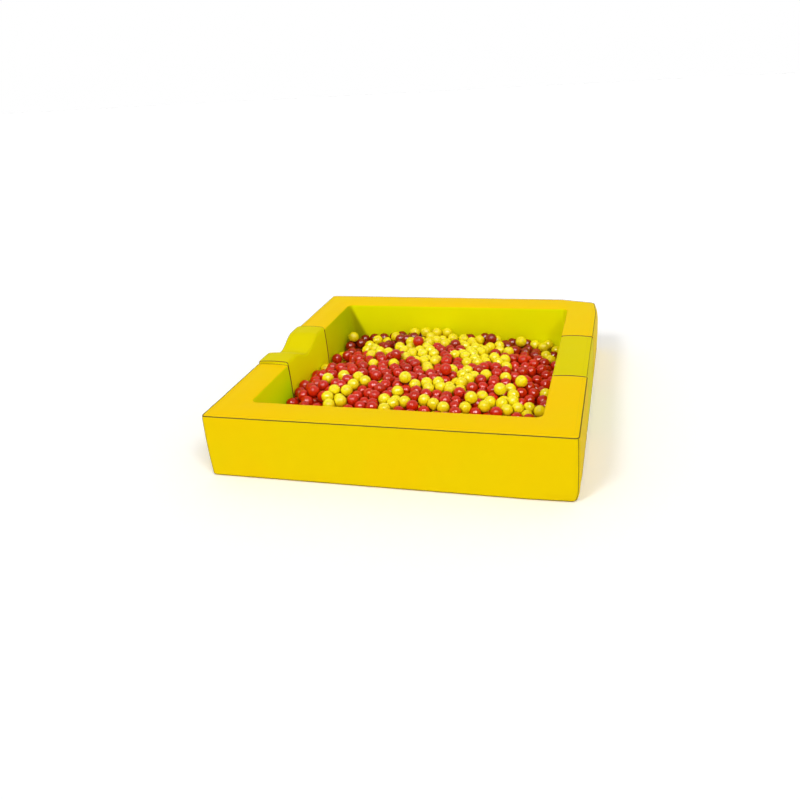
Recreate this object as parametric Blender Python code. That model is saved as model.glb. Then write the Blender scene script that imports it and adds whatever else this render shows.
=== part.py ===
"""A soft-play ball pit: four foam wall modules round a floor mat, filled with play balls.

The walls stand on the floor, Z = 0, with the pit's centre over the origin. The front wall is at -Y.
A front and a rear module are each a U in plan, and a straight module closes each side. The left one
is the way in, a little higher than the rest and with a saddle dip, and the right one is level. Every
module is a foam core in a sewn cover, over a base panel with a zip in it.
"""
import math

import bmesh
import bpy
import numpy as np
from mathutils.bvhtree import BVHTree

# The pit, in metres
PIT_WIDTH = 2.0
PIT_DEPTH = 2.0
WALL_HEIGHT = 0.37
WALL_THICKNESS = 0.205
ENTRY_LENGTH = 0.60
ENTRY_HEIGHT = 0.388
ENTRY_DIP = 0.062
ENTRY_FLAT = 0.11
OUTER_CORNER_RADIUS = 0.028
INNER_CORNER_RADIUS = 0.036

# Edges and swell of the padded walls
TOP_EDGE = 0.009
ENTRY_TOP_EDGE = 0.015
BOTTOM_EDGE = 0.014
JOINT_EDGE = 0.008
SIDE_SWELL = 0.004
TOP_CROWN = 0.004

# Sheet goods and clearances
COVER = 0.001
BASE_PANEL = 0.0012
FIT_GAP = 0.0003
FOOT_LIFT = 0.0003
STRIP = 0.0012
STRIP_WIDTH = 0.06
STRIP_HEIGHT = 0.22

# Floor mat
MAT_THICKNESS = 0.03
MAT_EDGE = 0.005

# Zips in the base panels
ZIP_TEETH_WIDTH = 0.002
ZIP_TEETH_HEIGHT = 0.0022
ZIP_TAPE = 0.0006
ZIP_TAPE_SEAT = 0.006
ZIP_SLOT = 0.014
ZIP_CHAIN_HEIGHT = 0.0037
ZIP_SLIDER_LENGTH = 0.012
ZIP_SLIDER_WIDTH = 0.009
ZIP_SLIDER_PLATE = 0.0012
ZIP_SLIDER_WEB = 0.0006
ZIP_POCKET_CLEARANCE = 0.0008
WALL_ZIP_END = 0.30
ENTRY_ZIP_END = 0.09
MAT_ZIP_END = 0.195
MAT_ZIP_FROM_EDGE = 0.12

# Balls
BALL = 0.075
BALL_SPACING_SHARE = 1.2
FILL_CORNER = 0.125
FILL_SIDE = 0.155
FILL_BACK = 0.205
FILL_MIDDLE = 0.245
WALL_CLEARANCE = 0.0008
SEAT_CLEARANCE = 0.0004
LAYER_FLOOR_SHARE = 0.25
RING_SHARES = (0.42, 0.86)
VALLEY_SHARE = 0.3
JITTER_SHARE = 0.14
BUMP_SHARE = 0.16

# Hills and hollows of the heap: place and reach as shares of the half width and half depth, and rise
# as a share of a ball
HILL_SHARES = ((-0.75, -0.35, 0.45, 0.7), (-0.25, 0.90, 0.30, 0.3), (0.50, 0.90, 0.40, -0.3))

# Places of the loose balls as shares of the half width and half depth, and their colours
LOOSE_BALLS = (
    ("yellow", -0.97, 0.86), ("yellow", -0.13, -0.24), ("yellow", 0.45, -0.46),
    ("yellow", 0.64, -0.26), ("yellow", 0.78, -0.07), ("yellow", 0.65, 0.87),
    ("red", -0.24, 0.58), ("red", -0.35, 0.24), ("red", 0.38, 0.85), ("red", 0.16, -0.05),
)

# Clumps of yellow balls: place as shares of the half width and half depth, and reach as a share
YELLOW_CLUMPS = (
    (-0.56, 0.55, 0.20), (-0.30, 0.57, 0.24), (-0.14, 0.56, 0.26), (-0.02, 0.86, 0.16),
    (0.16, 0.63, 0.18), (0.29, 0.40, 0.16), (0.31, 0.67, 0.13), (0.23, -0.17, 0.18),
    (0.30, 0.04, 0.12), (0.46, -0.34, 0.15), (0.44, -0.52, 0.12), (0.62, -0.30, 0.15),
    (0.74, -0.07, 0.10), (0.51, 0.36, 0.14), (0.89, 0.52, 0.13), (0.14, -0.50, 0.15),
    (-0.65, -0.44, 0.13), (-0.68, -0.09, 0.08), (-0.48, -0.15, 0.09), (-0.87, -0.05, 0.09),
    (-0.30, -0.80, 0.15), (0.70, -0.85, 0.14),
)
SHUFFLE_SEED = 7

# Worked out from the sizes above
HALF_WIDTH = PIT_WIDTH / 2
HALF_DEPTH = PIT_DEPTH / 2
INSIDE_X = HALF_WIDTH - WALL_THICKNESS
INSIDE_Y = HALF_DEPTH - WALL_THICKNESS
SKIN = COVER + FIT_GAP
JOINT_GAP = 2 * (STRIP + FIT_GAP) + FIT_GAP
ENTRY_HALF = (ENTRY_LENGTH - JOINT_GAP) / 2
ARM_END = (ENTRY_LENGTH + JOINT_GAP) / 2
BALL_RADIUS = BALL / 2
CUT_OVERRUN = 2 * BASE_PANEL

# Corner points round an edge, and shares of the way up a side and across the top
FINE_TURNS = (0.0, math.pi / 4, math.pi / 2)
PLAIN_TURNS = (0.0, math.pi / 2)
CORNER_TURNS = (0.0, math.pi / 6, math.pi / 3, math.pi / 2)
FINE_SIDE_SHARES = (0.25, 0.5, 0.75)
PLAIN_SIDE_SHARES = (0.5,)
FINE_TOP_SHARES = (0.25, 0.5, 0.75)
PLAIN_TOP_SHARES = (0.5,)
BEAM_SHARES = (-0.6, 0.0, 0.6)
ARM_SHARE = 0.5
SHARP_DEGREES = 40
SEARCH_SHARE = 0.25
DIP_SHARES = (-0.8, -0.6, -0.4, -0.2, 0.0, 0.2, 0.4, 0.6, 0.8)


# Materials

def linear(channel):
    """One sRGB channel of 0 to 255 as scene-linear light."""
    value = channel / 255
    return value / 12.92 if value <= 0.04045 else ((value + 0.055) / 1.055) ** 2.4


def material(name, colour, roughness, metallic=0.0):
    made = bpy.data.materials.new(name)
    made.use_nodes = True
    shader = made.node_tree.nodes["Principled BSDF"]
    rgba = [linear(channel) for channel in colour] + [1.0]
    shader.inputs["Base Color"].default_value = rgba
    shader.inputs["Roughness"].default_value = roughness
    shader.inputs["Metallic"].default_value = metallic
    made.diffuse_color = rgba
    return made


def foam_material(name):
    return material(name, (236, 226, 196), 0.95)


def wall_vinyl(name):
    return material(name, (241, 207, 4), 0.42)


def entry_vinyl(name):
    return material(name, (228, 212, 3), 0.42)


def mat_vinyl(name):
    return material(name, (240, 206, 4), 0.5)


def base_fabric(name):
    return material(name, (52, 54, 58), 0.85)


def zip_tape_cloth(name):
    return material(name, (214, 184, 10), 0.8)


def zip_metal(name):
    return material(name, (150, 152, 155), 0.35, 1.0)


def hook_and_loop(name):
    return material(name, (226, 200, 20), 0.95)


def red_ball_plastic(name):
    return material(name, (196, 38, 30), 0.28)


def yellow_ball_plastic(name):
    return material(name, (246, 226, 26), 0.28)


# Meshes

def add_holder(name, place=(0.0, 0.0, 0.0)):
    """An empty that carries the pieces of one module, on the line that the module moves along."""
    holder = bpy.data.objects.new(name, None)
    holder.location = place
    bpy.context.scene.collection.objects.link(holder)
    return holder


def add_object(name, points, faces, finish, holder, origin=None):
    """An object from points in world space and faces, facing outwards, with its origin at origin."""
    origin = np.array(holder.location if origin is None else origin, dtype=float)
    mesh = bpy.data.meshes.new(name)
    mesh.from_pydata([tuple(np.array(point) - origin) for point in points], [], faces)
    shell = bmesh.new()
    shell.from_mesh(mesh)
    bmesh.ops.recalc_face_normals(shell, faces=shell.faces)
    shell.to_mesh(mesh)
    shell.free()
    mesh.shade_smooth()
    mesh.set_sharp_from_angle(angle=math.radians(SHARP_DEGREES))
    mesh.materials.append(finish(name))
    made = bpy.data.objects.new(name, mesh)
    made.parent = holder
    made.location = origin - np.array(holder.location)
    bpy.context.scene.collection.objects.link(made)
    return made


def box_mesh(low, high):
    """Points and faces of a box from low to high."""
    points = [(x, y, z) for x in (low[0], high[0]) for y in (low[1], high[1]) for z in (low[2], high[2])]
    return points, [(0, 1, 3, 2), (4, 6, 7, 5), (0, 4, 5, 1), (2, 3, 7, 6), (0, 2, 6, 4), (1, 5, 7, 3)]


def add_cutter(name, target, low, high):
    """A hidden box from low to high that is cut out of the target."""
    cutter = add_object(name, *box_mesh(low, high), base_fabric, target.parent)
    cutter.hide_render = True
    cutter.display_type = "WIRE"
    cut = target.modifiers.new(name, "BOOLEAN")
    cut.operation = "DIFFERENCE"
    cut.solver = "EXACT"
    cut.object = cutter


def grid_faces(rows, columns, start=0):
    """Quads between neighbouring points of a grid of rows by columns."""
    return [(start + row * columns + i, start + row * columns + i + 1,
             start + (row + 1) * columns + i + 1, start + (row + 1) * columns + i)
            for row in range(rows - 1) for i in range(columns - 1)]


def loop_faces(rows, columns, start=0):
    """Quads between rings that are closed loops."""
    closing = [(start + (row + 1) * columns - 1, start + row * columns, start + (row + 1) * columns,
                start + (row + 2) * columns - 1) for row in range(rows - 1)]
    return grid_faces(rows, columns, start) + closing


def joined(rings):
    return [point for ring in rings for point in ring]


def closed_sweep(rings):
    """A solid through rings of equal length, each a closed loop, with a flat cap at both ends."""
    count = len(rings[0])
    last = (len(rings) - 1) * count
    caps = [tuple(range(count)), tuple(range(last, last + count))]
    return joined(rings), loop_faces(len(rings), count) + caps


def open_cup(outer_rings, inner_rings):
    """A thin wall between two stacks of closed loops that are open at the foot and capped on top."""
    rows, count = len(outer_rings), len(outer_rings[0])
    start = rows * count
    inner_rows = len(inner_rings)
    faces = loop_faces(rows, count) + loop_faces(inner_rows, count, start)
    faces.append(tuple(range(start - count, start)))
    faces.append(tuple(range(start + (inner_rows - 1) * count, start + inner_rows * count)))
    faces += [(i, (i + 1) % count, start + (i + 1) % count, start + i) for i in range(count)]
    return joined(outer_rings + inner_rings), faces


def open_shell(outer_rings, inner_rings):
    """A thin wall between two sweeps that are both open along the foot, closed at both ends."""
    rows = len(outer_rings)
    outer, inner = len(outer_rings[0]), len(inner_rings[0])
    start = rows * outer
    faces = grid_faces(rows, outer) + grid_faces(rows, inner, start)
    for row in (0, rows - 1):
        near_out, near_in = row * outer, start + row * inner
        faces.append(tuple(range(near_out, near_out + outer)))
        faces.append(tuple(range(near_in, near_in + inner)))
        faces.append((near_out, near_in, near_in + inner - 1, near_out + outer - 1))
    for row in range(rows - 1):
        near_out, near_in = row * outer, start + row * inner
        far_out, far_in = near_out + outer, near_in + inner
        faces.append((near_out, far_out, far_in, near_in))
        faces.append((far_out - 1, far_out + outer - 1, far_in + inner - 1, far_in - 1))
    return joined(outer_rings + inner_rings), faces


# Wall modules

class Cut:
    """One cut across a wall: a place on each face in plan, and the way into the foam from it."""

    def __init__(self, outer, inner, outer_in, inner_in, top=WALL_HEIGHT, drawn=0.0):
        self.outer = np.array(outer)
        self.inner = np.array(inner)
        self.outer_in = np.array(outer_in)
        self.inner_in = np.array(inner_in)
        self.top = top
        self.drawn = drawn


def section(cut, edge, offset, fine):
    """The points round one cut, from the outer foot over the top to the inner foot.

    The feet and the top edges are quarter circles, the sides swell by SIDE_SWELL between them as a
    parabola, and so does the top by TOP_CROWN. The whole line lies offset inside the cover's surface.
    """
    turns = FINE_TURNS if fine else PLAIN_TURNS
    side_shares = FINE_SIDE_SHARES if fine else PLAIN_SIDE_SHARES
    top_shares = FINE_TOP_SHARES if fine else PLAIN_TOP_SHARES
    foot_radius = BOTTOM_EDGE - offset
    top_radius = edge - offset
    foot_z = FOOT_LIFT + BOTTOM_EDGE
    shoulder_z = cut.top - TOP_CROWN - edge - cut.drawn
    side = [(SIDE_SWELL + BOTTOM_EDGE - foot_radius * math.sin(turn), foot_z - foot_radius * math.cos(turn))
            for turn in turns]
    side += [(offset + SIDE_SWELL * (2 * share - 1) ** 2, foot_z + (shoulder_z - foot_z) * share)
             for share in side_shares]
    side += [(SIDE_SWELL + edge - top_radius * math.cos(turn), shoulder_z + top_radius * math.sin(turn))
             for turn in turns]
    outer = [np.append(cut.outer + cut.outer_in * (inset + cut.drawn), z) for inset, z in side]
    inner = [np.append(cut.inner + cut.inner_in * (inset + cut.drawn), z) for inset, z in side]
    top = []
    for share in top_shares:
        point = outer[-1] + (inner[-1] - outer[-1]) * share
        point[2] += TOP_CROWN * (1 - (2 * share - 1) ** 2)
        top.append(point)
    return outer + top + inner[::-1]


def base_strip(cut):
    """The four corners of the base panel at one cut."""
    inset = SIDE_SWELL + BOTTOM_EDGE + FIT_GAP + cut.drawn
    outer = cut.outer + cut.outer_in * inset
    inner = cut.inner + cut.inner_in * inset
    return [np.append(outer, 0.0), np.append(outer, BASE_PANEL), np.append(inner, BASE_PANEL),
            np.append(inner, 0.0)]


def end_steps(offset):
    """Distance from a joint's end plane, and how far the section is drawn in there."""
    radius = JOINT_EDGE - offset
    return [(JOINT_EDGE - radius * math.cos(turn), radius * (1 - math.sin(turn))) for turn in FINE_TURNS]


def arm_cut(side_x, y, top=WALL_HEIGHT, drawn=0.0):
    """A cut across a wall that runs along Y."""
    return Cut((side_x * HALF_WIDTH, y), (side_x * INSIDE_X, y), (-side_x, 0.0), (side_x, 0.0), top, drawn)


def arm_cuts(side_x, side_y, offset):
    """Cuts along one arm of a U, from its joint towards the corner."""
    cuts = [arm_cut(side_x, side_y * (ARM_END + far), drawn=drawn) for far, drawn in end_steps(offset)]
    corner = INSIDE_Y - INNER_CORNER_RADIUS
    return cuts + [arm_cut(side_x, side_y * (ARM_END + (corner - ARM_END) * ARM_SHARE))]


def corner_cuts(side_x, side_y):
    """Cuts that fan round one corner of a U, from the arm to the beam."""
    side = np.array((side_x, side_y))
    centre = side * (HALF_WIDTH - OUTER_CORNER_RADIUS, HALF_DEPTH - OUTER_CORNER_RADIUS)
    hollow = side * (INSIDE_X - INNER_CORNER_RADIUS, INSIDE_Y - INNER_CORNER_RADIUS)
    cuts = []
    for turn in CORNER_TURNS:
        out = side * (math.cos(turn), math.sin(turn))
        cuts.append(Cut(centre + out * OUTER_CORNER_RADIUS, hollow + out * INNER_CORNER_RADIUS, -out, out))
    return cuts


def beam_cuts(side_y):
    """Cuts along the beam of a U, from -X to +X."""
    reach = INSIDE_X - INNER_CORNER_RADIUS
    return [Cut((share * reach, side_y * HALF_DEPTH), (share * reach, side_y * INSIDE_Y),
                (0.0, -side_y), (0.0, side_y)) for share in BEAM_SHARES]


def u_cuts(side_y, offset):
    left = arm_cuts(-1, side_y, offset) + corner_cuts(-1, side_y)
    right = arm_cuts(1, side_y, offset) + corner_cuts(1, side_y)
    return left + beam_cuts(side_y) + right[::-1]


def side_top(side_x, y):
    """The height of a side module's top: the walls' on the right, and on the left the entry's, level by
    the joints with a cosine dip between them."""
    reach = ENTRY_LENGTH / 2 - ENTRY_FLAT
    if side_x > 0:
        return WALL_HEIGHT
    if abs(y) >= reach:
        return ENTRY_HEIGHT
    return ENTRY_HEIGHT - ENTRY_DIP * (1 + math.cos(math.pi * y / reach)) / 2


def side_cuts(side_x, offset):
    """Cuts along a side module, from its front joint to its rear one, with more of them over a dip."""
    reach = ENTRY_LENGTH / 2 - ENTRY_FLAT
    ends = [(ENTRY_HALF - far, drawn) for far, drawn in end_steps(offset)]
    front = [arm_cut(side_x, -y, side_top(side_x, y), drawn) for y, drawn in ends]
    rear = [arm_cut(side_x, y, side_top(side_x, y), drawn) for y, drawn in ends]
    shares = (-1.0,) + DIP_SHARES + (1.0,) if side_x < 0 else ()
    middle = [arm_cut(side_x, reach * share, side_top(side_x, reach * share)) for share in shares]
    return front + middle + rear[::-1]


def add_module(holder, name, cuts, edge, vinyl):
    """A foam core, its cover and its base panel, from a function that gives the cuts at an offset."""
    outer = [section(cut, edge, 0.0, True) for cut in cuts(0.0)]
    inner = [section(cut, edge, COVER, False) for cut in cuts(COVER)]
    core_rings = [section(cut, edge, SKIN, False) for cut in cuts(SKIN)]
    base_rings = [base_strip(cut) for cut in cuts(SKIN)]
    add_object(name + "_cover", *open_shell(outer, inner), vinyl, holder)
    core = add_object(name + "_foam_core", *closed_sweep(core_rings), foam_material, holder)
    base = add_object(name + "_base_panel", *closed_sweep(base_rings), base_fabric, holder)
    return core, base


def add_strip(holder, name, side_x, low_y):
    """An upright hook or loop strip on the middle of a joint face."""
    middle = side_x * (HALF_WIDTH - WALL_THICKNESS / 2)
    low = (middle - STRIP_WIDTH / 2, low_y, (WALL_HEIGHT - STRIP_HEIGHT) / 2)
    high = (middle + STRIP_WIDTH / 2, low_y + STRIP, (WALL_HEIGHT + STRIP_HEIGHT) / 2)
    add_object(name, *box_mesh(low, high), hook_and_loop, holder)


def add_u_module(name, side_y):
    holder = add_holder(name + "_module")
    core, base = add_module(holder, name, lambda offset: u_cuts(side_y, offset), TOP_EDGE, wall_vinyl)
    add_zip(holder, name, core, base, (0.0, side_y * (HALF_DEPTH - WALL_THICKNESS / 2)), 0,
            HALF_WIDTH - WALL_ZIP_END)
    face = ARM_END - FIT_GAP
    low_y = face - STRIP if side_y > 0 else -face
    for side_x, side in ((-1, "left"), (1, "right")):
        add_strip(holder, name + "_" + side + "_loop_strip", side_x, low_y)


def add_side_module(name, side_x):
    middle = side_x * (HALF_WIDTH - WALL_THICKNESS / 2)
    holder = add_holder(name, (middle, 0.0, 0.0))
    core, base = add_module(holder, name, lambda offset: side_cuts(side_x, offset), ENTRY_TOP_EDGE,
                            entry_vinyl)
    add_zip(holder, name, core, base, (middle, 0.0), 1, ENTRY_LENGTH / 2 - ENTRY_ZIP_END)
    add_strip(holder, name + "_front_hook_strip", side_x, -ENTRY_HALF - FIT_GAP - STRIP)
    add_strip(holder, name + "_rear_hook_strip", side_x, ENTRY_HALF + FIT_GAP)


# Floor mat

def mat_tuck():
    """How far the face of the lowest wall stands back from its swell at the height of the mat's top."""
    foot_z = FOOT_LIFT + BOTTOM_EDGE
    shoulder_z = ENTRY_HEIGHT - ENTRY_DIP - TOP_CROWN - ENTRY_TOP_EDGE
    first = FINE_SIDE_SHARES[0]
    climb = (MAT_THICKNESS - foot_z) / (shoulder_z - foot_z) / first
    return SIDE_SWELL * (1 - (1 - (2 * first - 1) ** 2) * max(0.0, min(1.0, climb)))


def mat_ring(inset, z):
    """The mat's outline, a rounded rectangle round the same corner centres as the walls, at one height."""
    radius = INNER_CORNER_RADIUS + mat_tuck() - FIT_GAP - inset
    ring = []
    for quarter in range(4):
        start = quarter * math.pi / 2
        side_x = 1 if quarter in (0, 3) else -1
        side_y = 1 if quarter in (0, 1) else -1
        for turn in CORNER_TURNS:
            ring.append((side_x * (INSIDE_X - INNER_CORNER_RADIUS) + radius * math.cos(start + turn),
                         side_y * (INSIDE_Y - INNER_CORNER_RADIUS) + radius * math.sin(start + turn), z))
    return ring


def mat_rings(offset, turns):
    """Outlines from the mat's foot to its top, lying offset inside its cover's surface."""
    radius = MAT_EDGE - offset
    low = FOOT_LIFT + MAT_EDGE
    high = MAT_THICKNESS - MAT_EDGE
    foot = [mat_ring(MAT_EDGE - radius * math.sin(turn), low - radius * math.cos(turn)) for turn in turns]
    top = [mat_ring(MAT_EDGE - radius * math.cos(turn), high + radius * math.sin(turn)) for turn in turns]
    return foot + top


def add_mat():
    holder = add_holder("floor_mat")
    add_object("mat_cover", *open_cup(mat_rings(0.0, FINE_TURNS), mat_rings(COVER, PLAIN_TURNS)),
               mat_vinyl, holder)
    core = add_object("mat_foam_core", *closed_sweep(mat_rings(SKIN, PLAIN_TURNS)), foam_material, holder)
    edge = MAT_EDGE + FIT_GAP
    base = add_object("mat_base_panel", *closed_sweep([mat_ring(edge, 0.0), mat_ring(edge, BASE_PANEL)]),
                      base_fabric, holder)
    add_zip(holder, "mat", core, base, (0.0, MAT_ZIP_FROM_EDGE - INSIDE_Y), 0,
            INSIDE_X - MAT_ZIP_END)


# Zips

def zip_slit():
    """Half the slit between the two tapes, in which the slider's web runs."""
    return ZIP_SLIDER_WEB / 2 + FIT_GAP


def slider_levels():
    """The underside and top of the slider's lower plate, and of its upper plate."""
    reach = ZIP_TEETH_HEIGHT / 2 + FIT_GAP
    low = ZIP_CHAIN_HEIGHT - reach
    high = ZIP_CHAIN_HEIGHT + reach
    return low - ZIP_SLIDER_PLATE, low, high, high + ZIP_SLIDER_PLATE


def tape_outline():
    """One zip tape's section, as distance from the zip's middle line and height.

    A bead of teeth stands at the slit, and the tape slopes down from it to lie on the base panel.
    """
    slit = zip_slit()
    half_tape = ZIP_TAPE / 2
    half_teeth = ZIP_TEETH_HEIGHT / 2
    seat = BASE_PANEL + FIT_GAP
    teeth = slit + ZIP_TEETH_WIDTH
    bend = ZIP_SLIDER_WIDTH / 2 + ZIP_TAPE
    landing = ZIP_SLOT / 2 + ZIP_TAPE
    edge = landing + ZIP_TAPE_SEAT
    middle = ZIP_CHAIN_HEIGHT
    return [(slit, middle - half_teeth), (teeth, middle - half_teeth), (teeth, middle - half_tape),
            (bend, middle - half_tape), (landing, seat), (edge, seat), (edge, seat + ZIP_TAPE),
            (landing, seat + ZIP_TAPE), (bend, middle + half_tape), (teeth, middle + half_tape),
            (teeth, middle + half_teeth), (slit, middle + half_teeth)]


def slider_outline():
    """The slider's section: two plates joined by a web that runs in the slit."""
    low, under, over, high = slider_levels()
    half = ZIP_SLIDER_WIDTH / 2
    web = ZIP_SLIDER_WEB / 2
    right = [(half, low), (half, under), (web, under), (web, over), (half, over), (half, high)]
    return right + [(-across, z) for across, z in right[::-1]]


def add_zip(holder, name, core, base, middle, along, half):
    """A slot in the base, a pocket in the foam, two tapes and a slider, centred at middle in plan.

    along is 0 for a zip that runs along X, or 1 for one along Y, and half is half its length. The slider
    rests at the low end.
    """
    def place(distance, sideways, z):
        offsets = (distance, sideways) if along == 0 else (sideways, distance)
        return middle[0] + offsets[0], middle[1] + offsets[1], z

    outline = tape_outline()
    for side, label in ((-1, "_zip_tape_a"), (1, "_zip_tape_b")):
        rings = [[place(end, side * sideways, z) for sideways, z in outline] for end in (-half, half)]
        add_object(name + label, *closed_sweep(rings), zip_tape_cloth, holder)
    slot = half + FIT_GAP
    add_cutter(name + "_slot_cutter", base, place(-slot, -ZIP_SLOT / 2, -CUT_OVERRUN),
               place(slot, ZIP_SLOT / 2, BASE_PANEL + CUT_OVERRUN))
    reach = max(sideways for sideways, _ in outline) + ZIP_POCKET_CLEARANCE
    pocket = half + ZIP_POCKET_CLEARANCE
    add_cutter(name + "_pocket_cutter", core, place(-pocket, -reach, -CUT_OVERRUN),
               place(pocket, reach, slider_levels()[-1] + ZIP_POCKET_CLEARANCE))
    start = -half + ZIP_SLIDER_LENGTH / 2
    rings = [[place(start + end * ZIP_SLIDER_LENGTH / 2, sideways, z) for sideways, z in slider_outline()]
             for end in (-1, 1)]
    add_object(name + "_zip_slider", *closed_sweep(rings), zip_metal, holder,
               place(start, 0.0, ZIP_CHAIN_HEIGHT))


# Balls

def fill_height(x, y):
    """The height of the heaped balls' tops: a mound set by its corner, side, back and middle heights,
    and the hills and hollows on it."""
    across = 1 - (x / INSIDE_X) ** 2
    along = 1 - (y / INSIDE_Y) ** 2
    rise = FILL_MIDDLE - FILL_SIDE - FILL_BACK + FILL_CORNER
    height = (FILL_CORNER + (FILL_SIDE - FILL_CORNER) * along + (FILL_BACK - FILL_CORNER) * across
              + rise * across * along)
    for share_x, share_y, reach, hill in HILL_SHARES:
        far = math.hypot(x / INSIDE_X - share_x, y / INSIDE_Y - share_y) / reach
        height += hill * BALL * math.exp(-far ** 2)
    return height


def fit_to_pit(x, y):
    """The point moved onto the rounded rectangle that the balls fill, if it lies outside."""
    centre_x, centre_y = INSIDE_X - INNER_CORNER_RADIUS, INSIDE_Y - INNER_CORNER_RADIUS
    radius = INNER_CORNER_RADIUS - WALL_CLEARANCE
    x = max(-centre_x - radius, min(centre_x + radius, x))
    y = max(-centre_y - radius, min(centre_y + radius, y))
    over_x, over_y = abs(x) - centre_x, abs(y) - centre_y
    far = math.hypot(over_x, over_y)
    if over_x > 0 and over_y > 0 and far > radius:
        x = math.copysign(centre_x + over_x * radius / far, x)
        y = math.copysign(centre_y + over_y * radius / far, y)
    return x, y


def in_yellow_clump(x, y):
    return any(math.hypot(x / INSIDE_X - share_x, y / INSIDE_Y - share_y) < reach
               for share_x, share_y, reach in YELLOW_CLUMPS)


class BallBed:
    """The top balls of the heap, in staggered rows, each with a six-sided cell round it.

    A cell's corners are the middles of the triangles between neighbouring balls, so three cells meet
    at each corner. Places just outside the rows stand for the pit's wall, and a corner next to one is
    moved onto the wall.
    """

    def __init__(self):
        random = np.random.default_rng(SHUFFLE_SEED)
        spacing = BALL * BALL_SPACING_SHARE
        reach_x = INSIDE_X - WALL_CLEARANCE - BALL_RADIUS
        reach_y = INSIDE_Y - WALL_CLEARANCE - BALL_RADIUS
        self.columns = round(2 * reach_x / spacing) + 1
        self.rows = 2 * round(reach_y / (spacing * math.sin(math.pi / 3))) + 1
        step_x = 2 * reach_x / (self.columns - 1)
        step_y = 2 * reach_y / (self.rows - 1)
        self.spots = {}
        for row in range(-1, self.rows + 1):
            for column in range(-1, self.columns + 1):
                x = step_x * (column + (row % 2) / 2) - reach_x
                y = step_y * row - reach_y
                jitter = random.uniform(-1, 1, 2) * JITTER_SHARE * spacing
                if self.is_ball((row, column)):
                    x = max(-reach_x, min(reach_x, x + jitter[0]))
                    y = max(-reach_y, min(reach_y, y + jitter[1]))
                self.spots[row, column] = (x, y)
        self.balls = [spot for spot in self.spots if self.is_ball(spot)]
        self.heights = {ball: fill_height(*self.spots[ball]) - BALL_RADIUS * (1 + BUMP_SHARE * bump)
                        for ball, bump in zip(self.balls, random.uniform(0, 2, len(self.balls)))}
        self.yellow = {ball for ball in self.balls if in_yellow_clump(*self.spots[ball])}
        self.join_red()
        self.corners = {ball: self.corner_keys(ball) for ball in self.balls}
        self.places = {key: self.corner_place(key) for keys in self.corners.values() for key in keys}
        self.valleys = {key: np.mean([self.heights[spot] for spot in key if self.is_ball(spot)])
                        - VALLEY_SHARE * BALL_RADIUS for key in self.places}
        self.shifts = self.border_shifts()
        self.floor = MAT_THICKNESS + FIT_GAP
        self.split = self.floor + (min(self.valleys.values()) - self.floor) * LAYER_FLOOR_SHARE

    def is_ball(self, spot):
        row, column = spot
        return 0 <= row < self.rows and 0 <= column < self.columns - row % 2

    def neighbours(self, spot):
        """The six spots round a spot, from the one at +X on, anticlockwise."""
        row, column = spot
        right = column + row % 2
        return [(row, column + 1), (row + 1, right), (row + 1, right - 1),
                (row, column - 1), (row - 1, right - 1), (row - 1, right)]

    def corner_keys(self, ball):
        """A cell's corners in order; corner i lies between neighbours i and i + 1."""
        around = self.neighbours(ball)
        return [tuple(sorted((ball, around[i], around[(i + 1) % len(around)]))) for i in range(len(around))]

    def corner_place(self, key):
        x, y = np.mean([self.spots[spot] for spot in key], axis=0)
        outside = [spot for spot in key if not self.is_ball(spot)]
        if any(0 <= row < self.rows for row, _ in outside):
            x = math.copysign(HALF_WIDTH, x)
        if any(not 0 <= row < self.rows for row, _ in outside):
            y = math.copysign(HALF_DEPTH, y)
        return np.array(fit_to_pit(x, y))

    def join_red(self):
        """Red balls that the largest group of red balls doesn't touch become yellow."""
        left = set(self.balls) - self.yellow
        largest = set()
        while left:
            group, edge = set(), [left.pop()]
            while edge:
                ball = edge.pop()
                group.add(ball)
                near = left.intersection(self.neighbours(ball))
                left -= near
                edge.extend(near)
            largest = max(largest, group, key=len)
        self.yellow = set(self.balls) - largest

    def border_shifts(self):
        """How far each corner on a red and yellow border moves into the red side, for half the gap."""
        normals = {}
        for ball in sorted(set(self.balls) - self.yellow):
            keys = self.corners[ball]
            for i, other in enumerate(self.neighbours(ball)):
                if other in self.yellow:
                    near, far = keys[i - 1], keys[i]
                    line = self.places[far] - self.places[near]
                    normal = np.array((-line[1], line[0])) / np.linalg.norm(line)
                    for key in (near, far):
                        normals.setdefault(key, []).append(normal)
        shifts = {}
        for key, found in normals.items():
            if len(found) == 2:
                turn = 1 + found[0].dot(found[1])
                shifts[key] = (found[0] + found[1]) * FIT_GAP / 2 / turn
            else:
                wall = np.array((1.0, 0.0)) if abs(found[0][0]) > abs(found[0][1]) else np.array((0.0, 1.0))
                shifts[key] = wall * FIT_GAP / 2 / found[0].dot(wall)
        return shifts

    def top_heights(self):
        return max(self.heights.values()) + BALL_RADIUS


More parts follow.
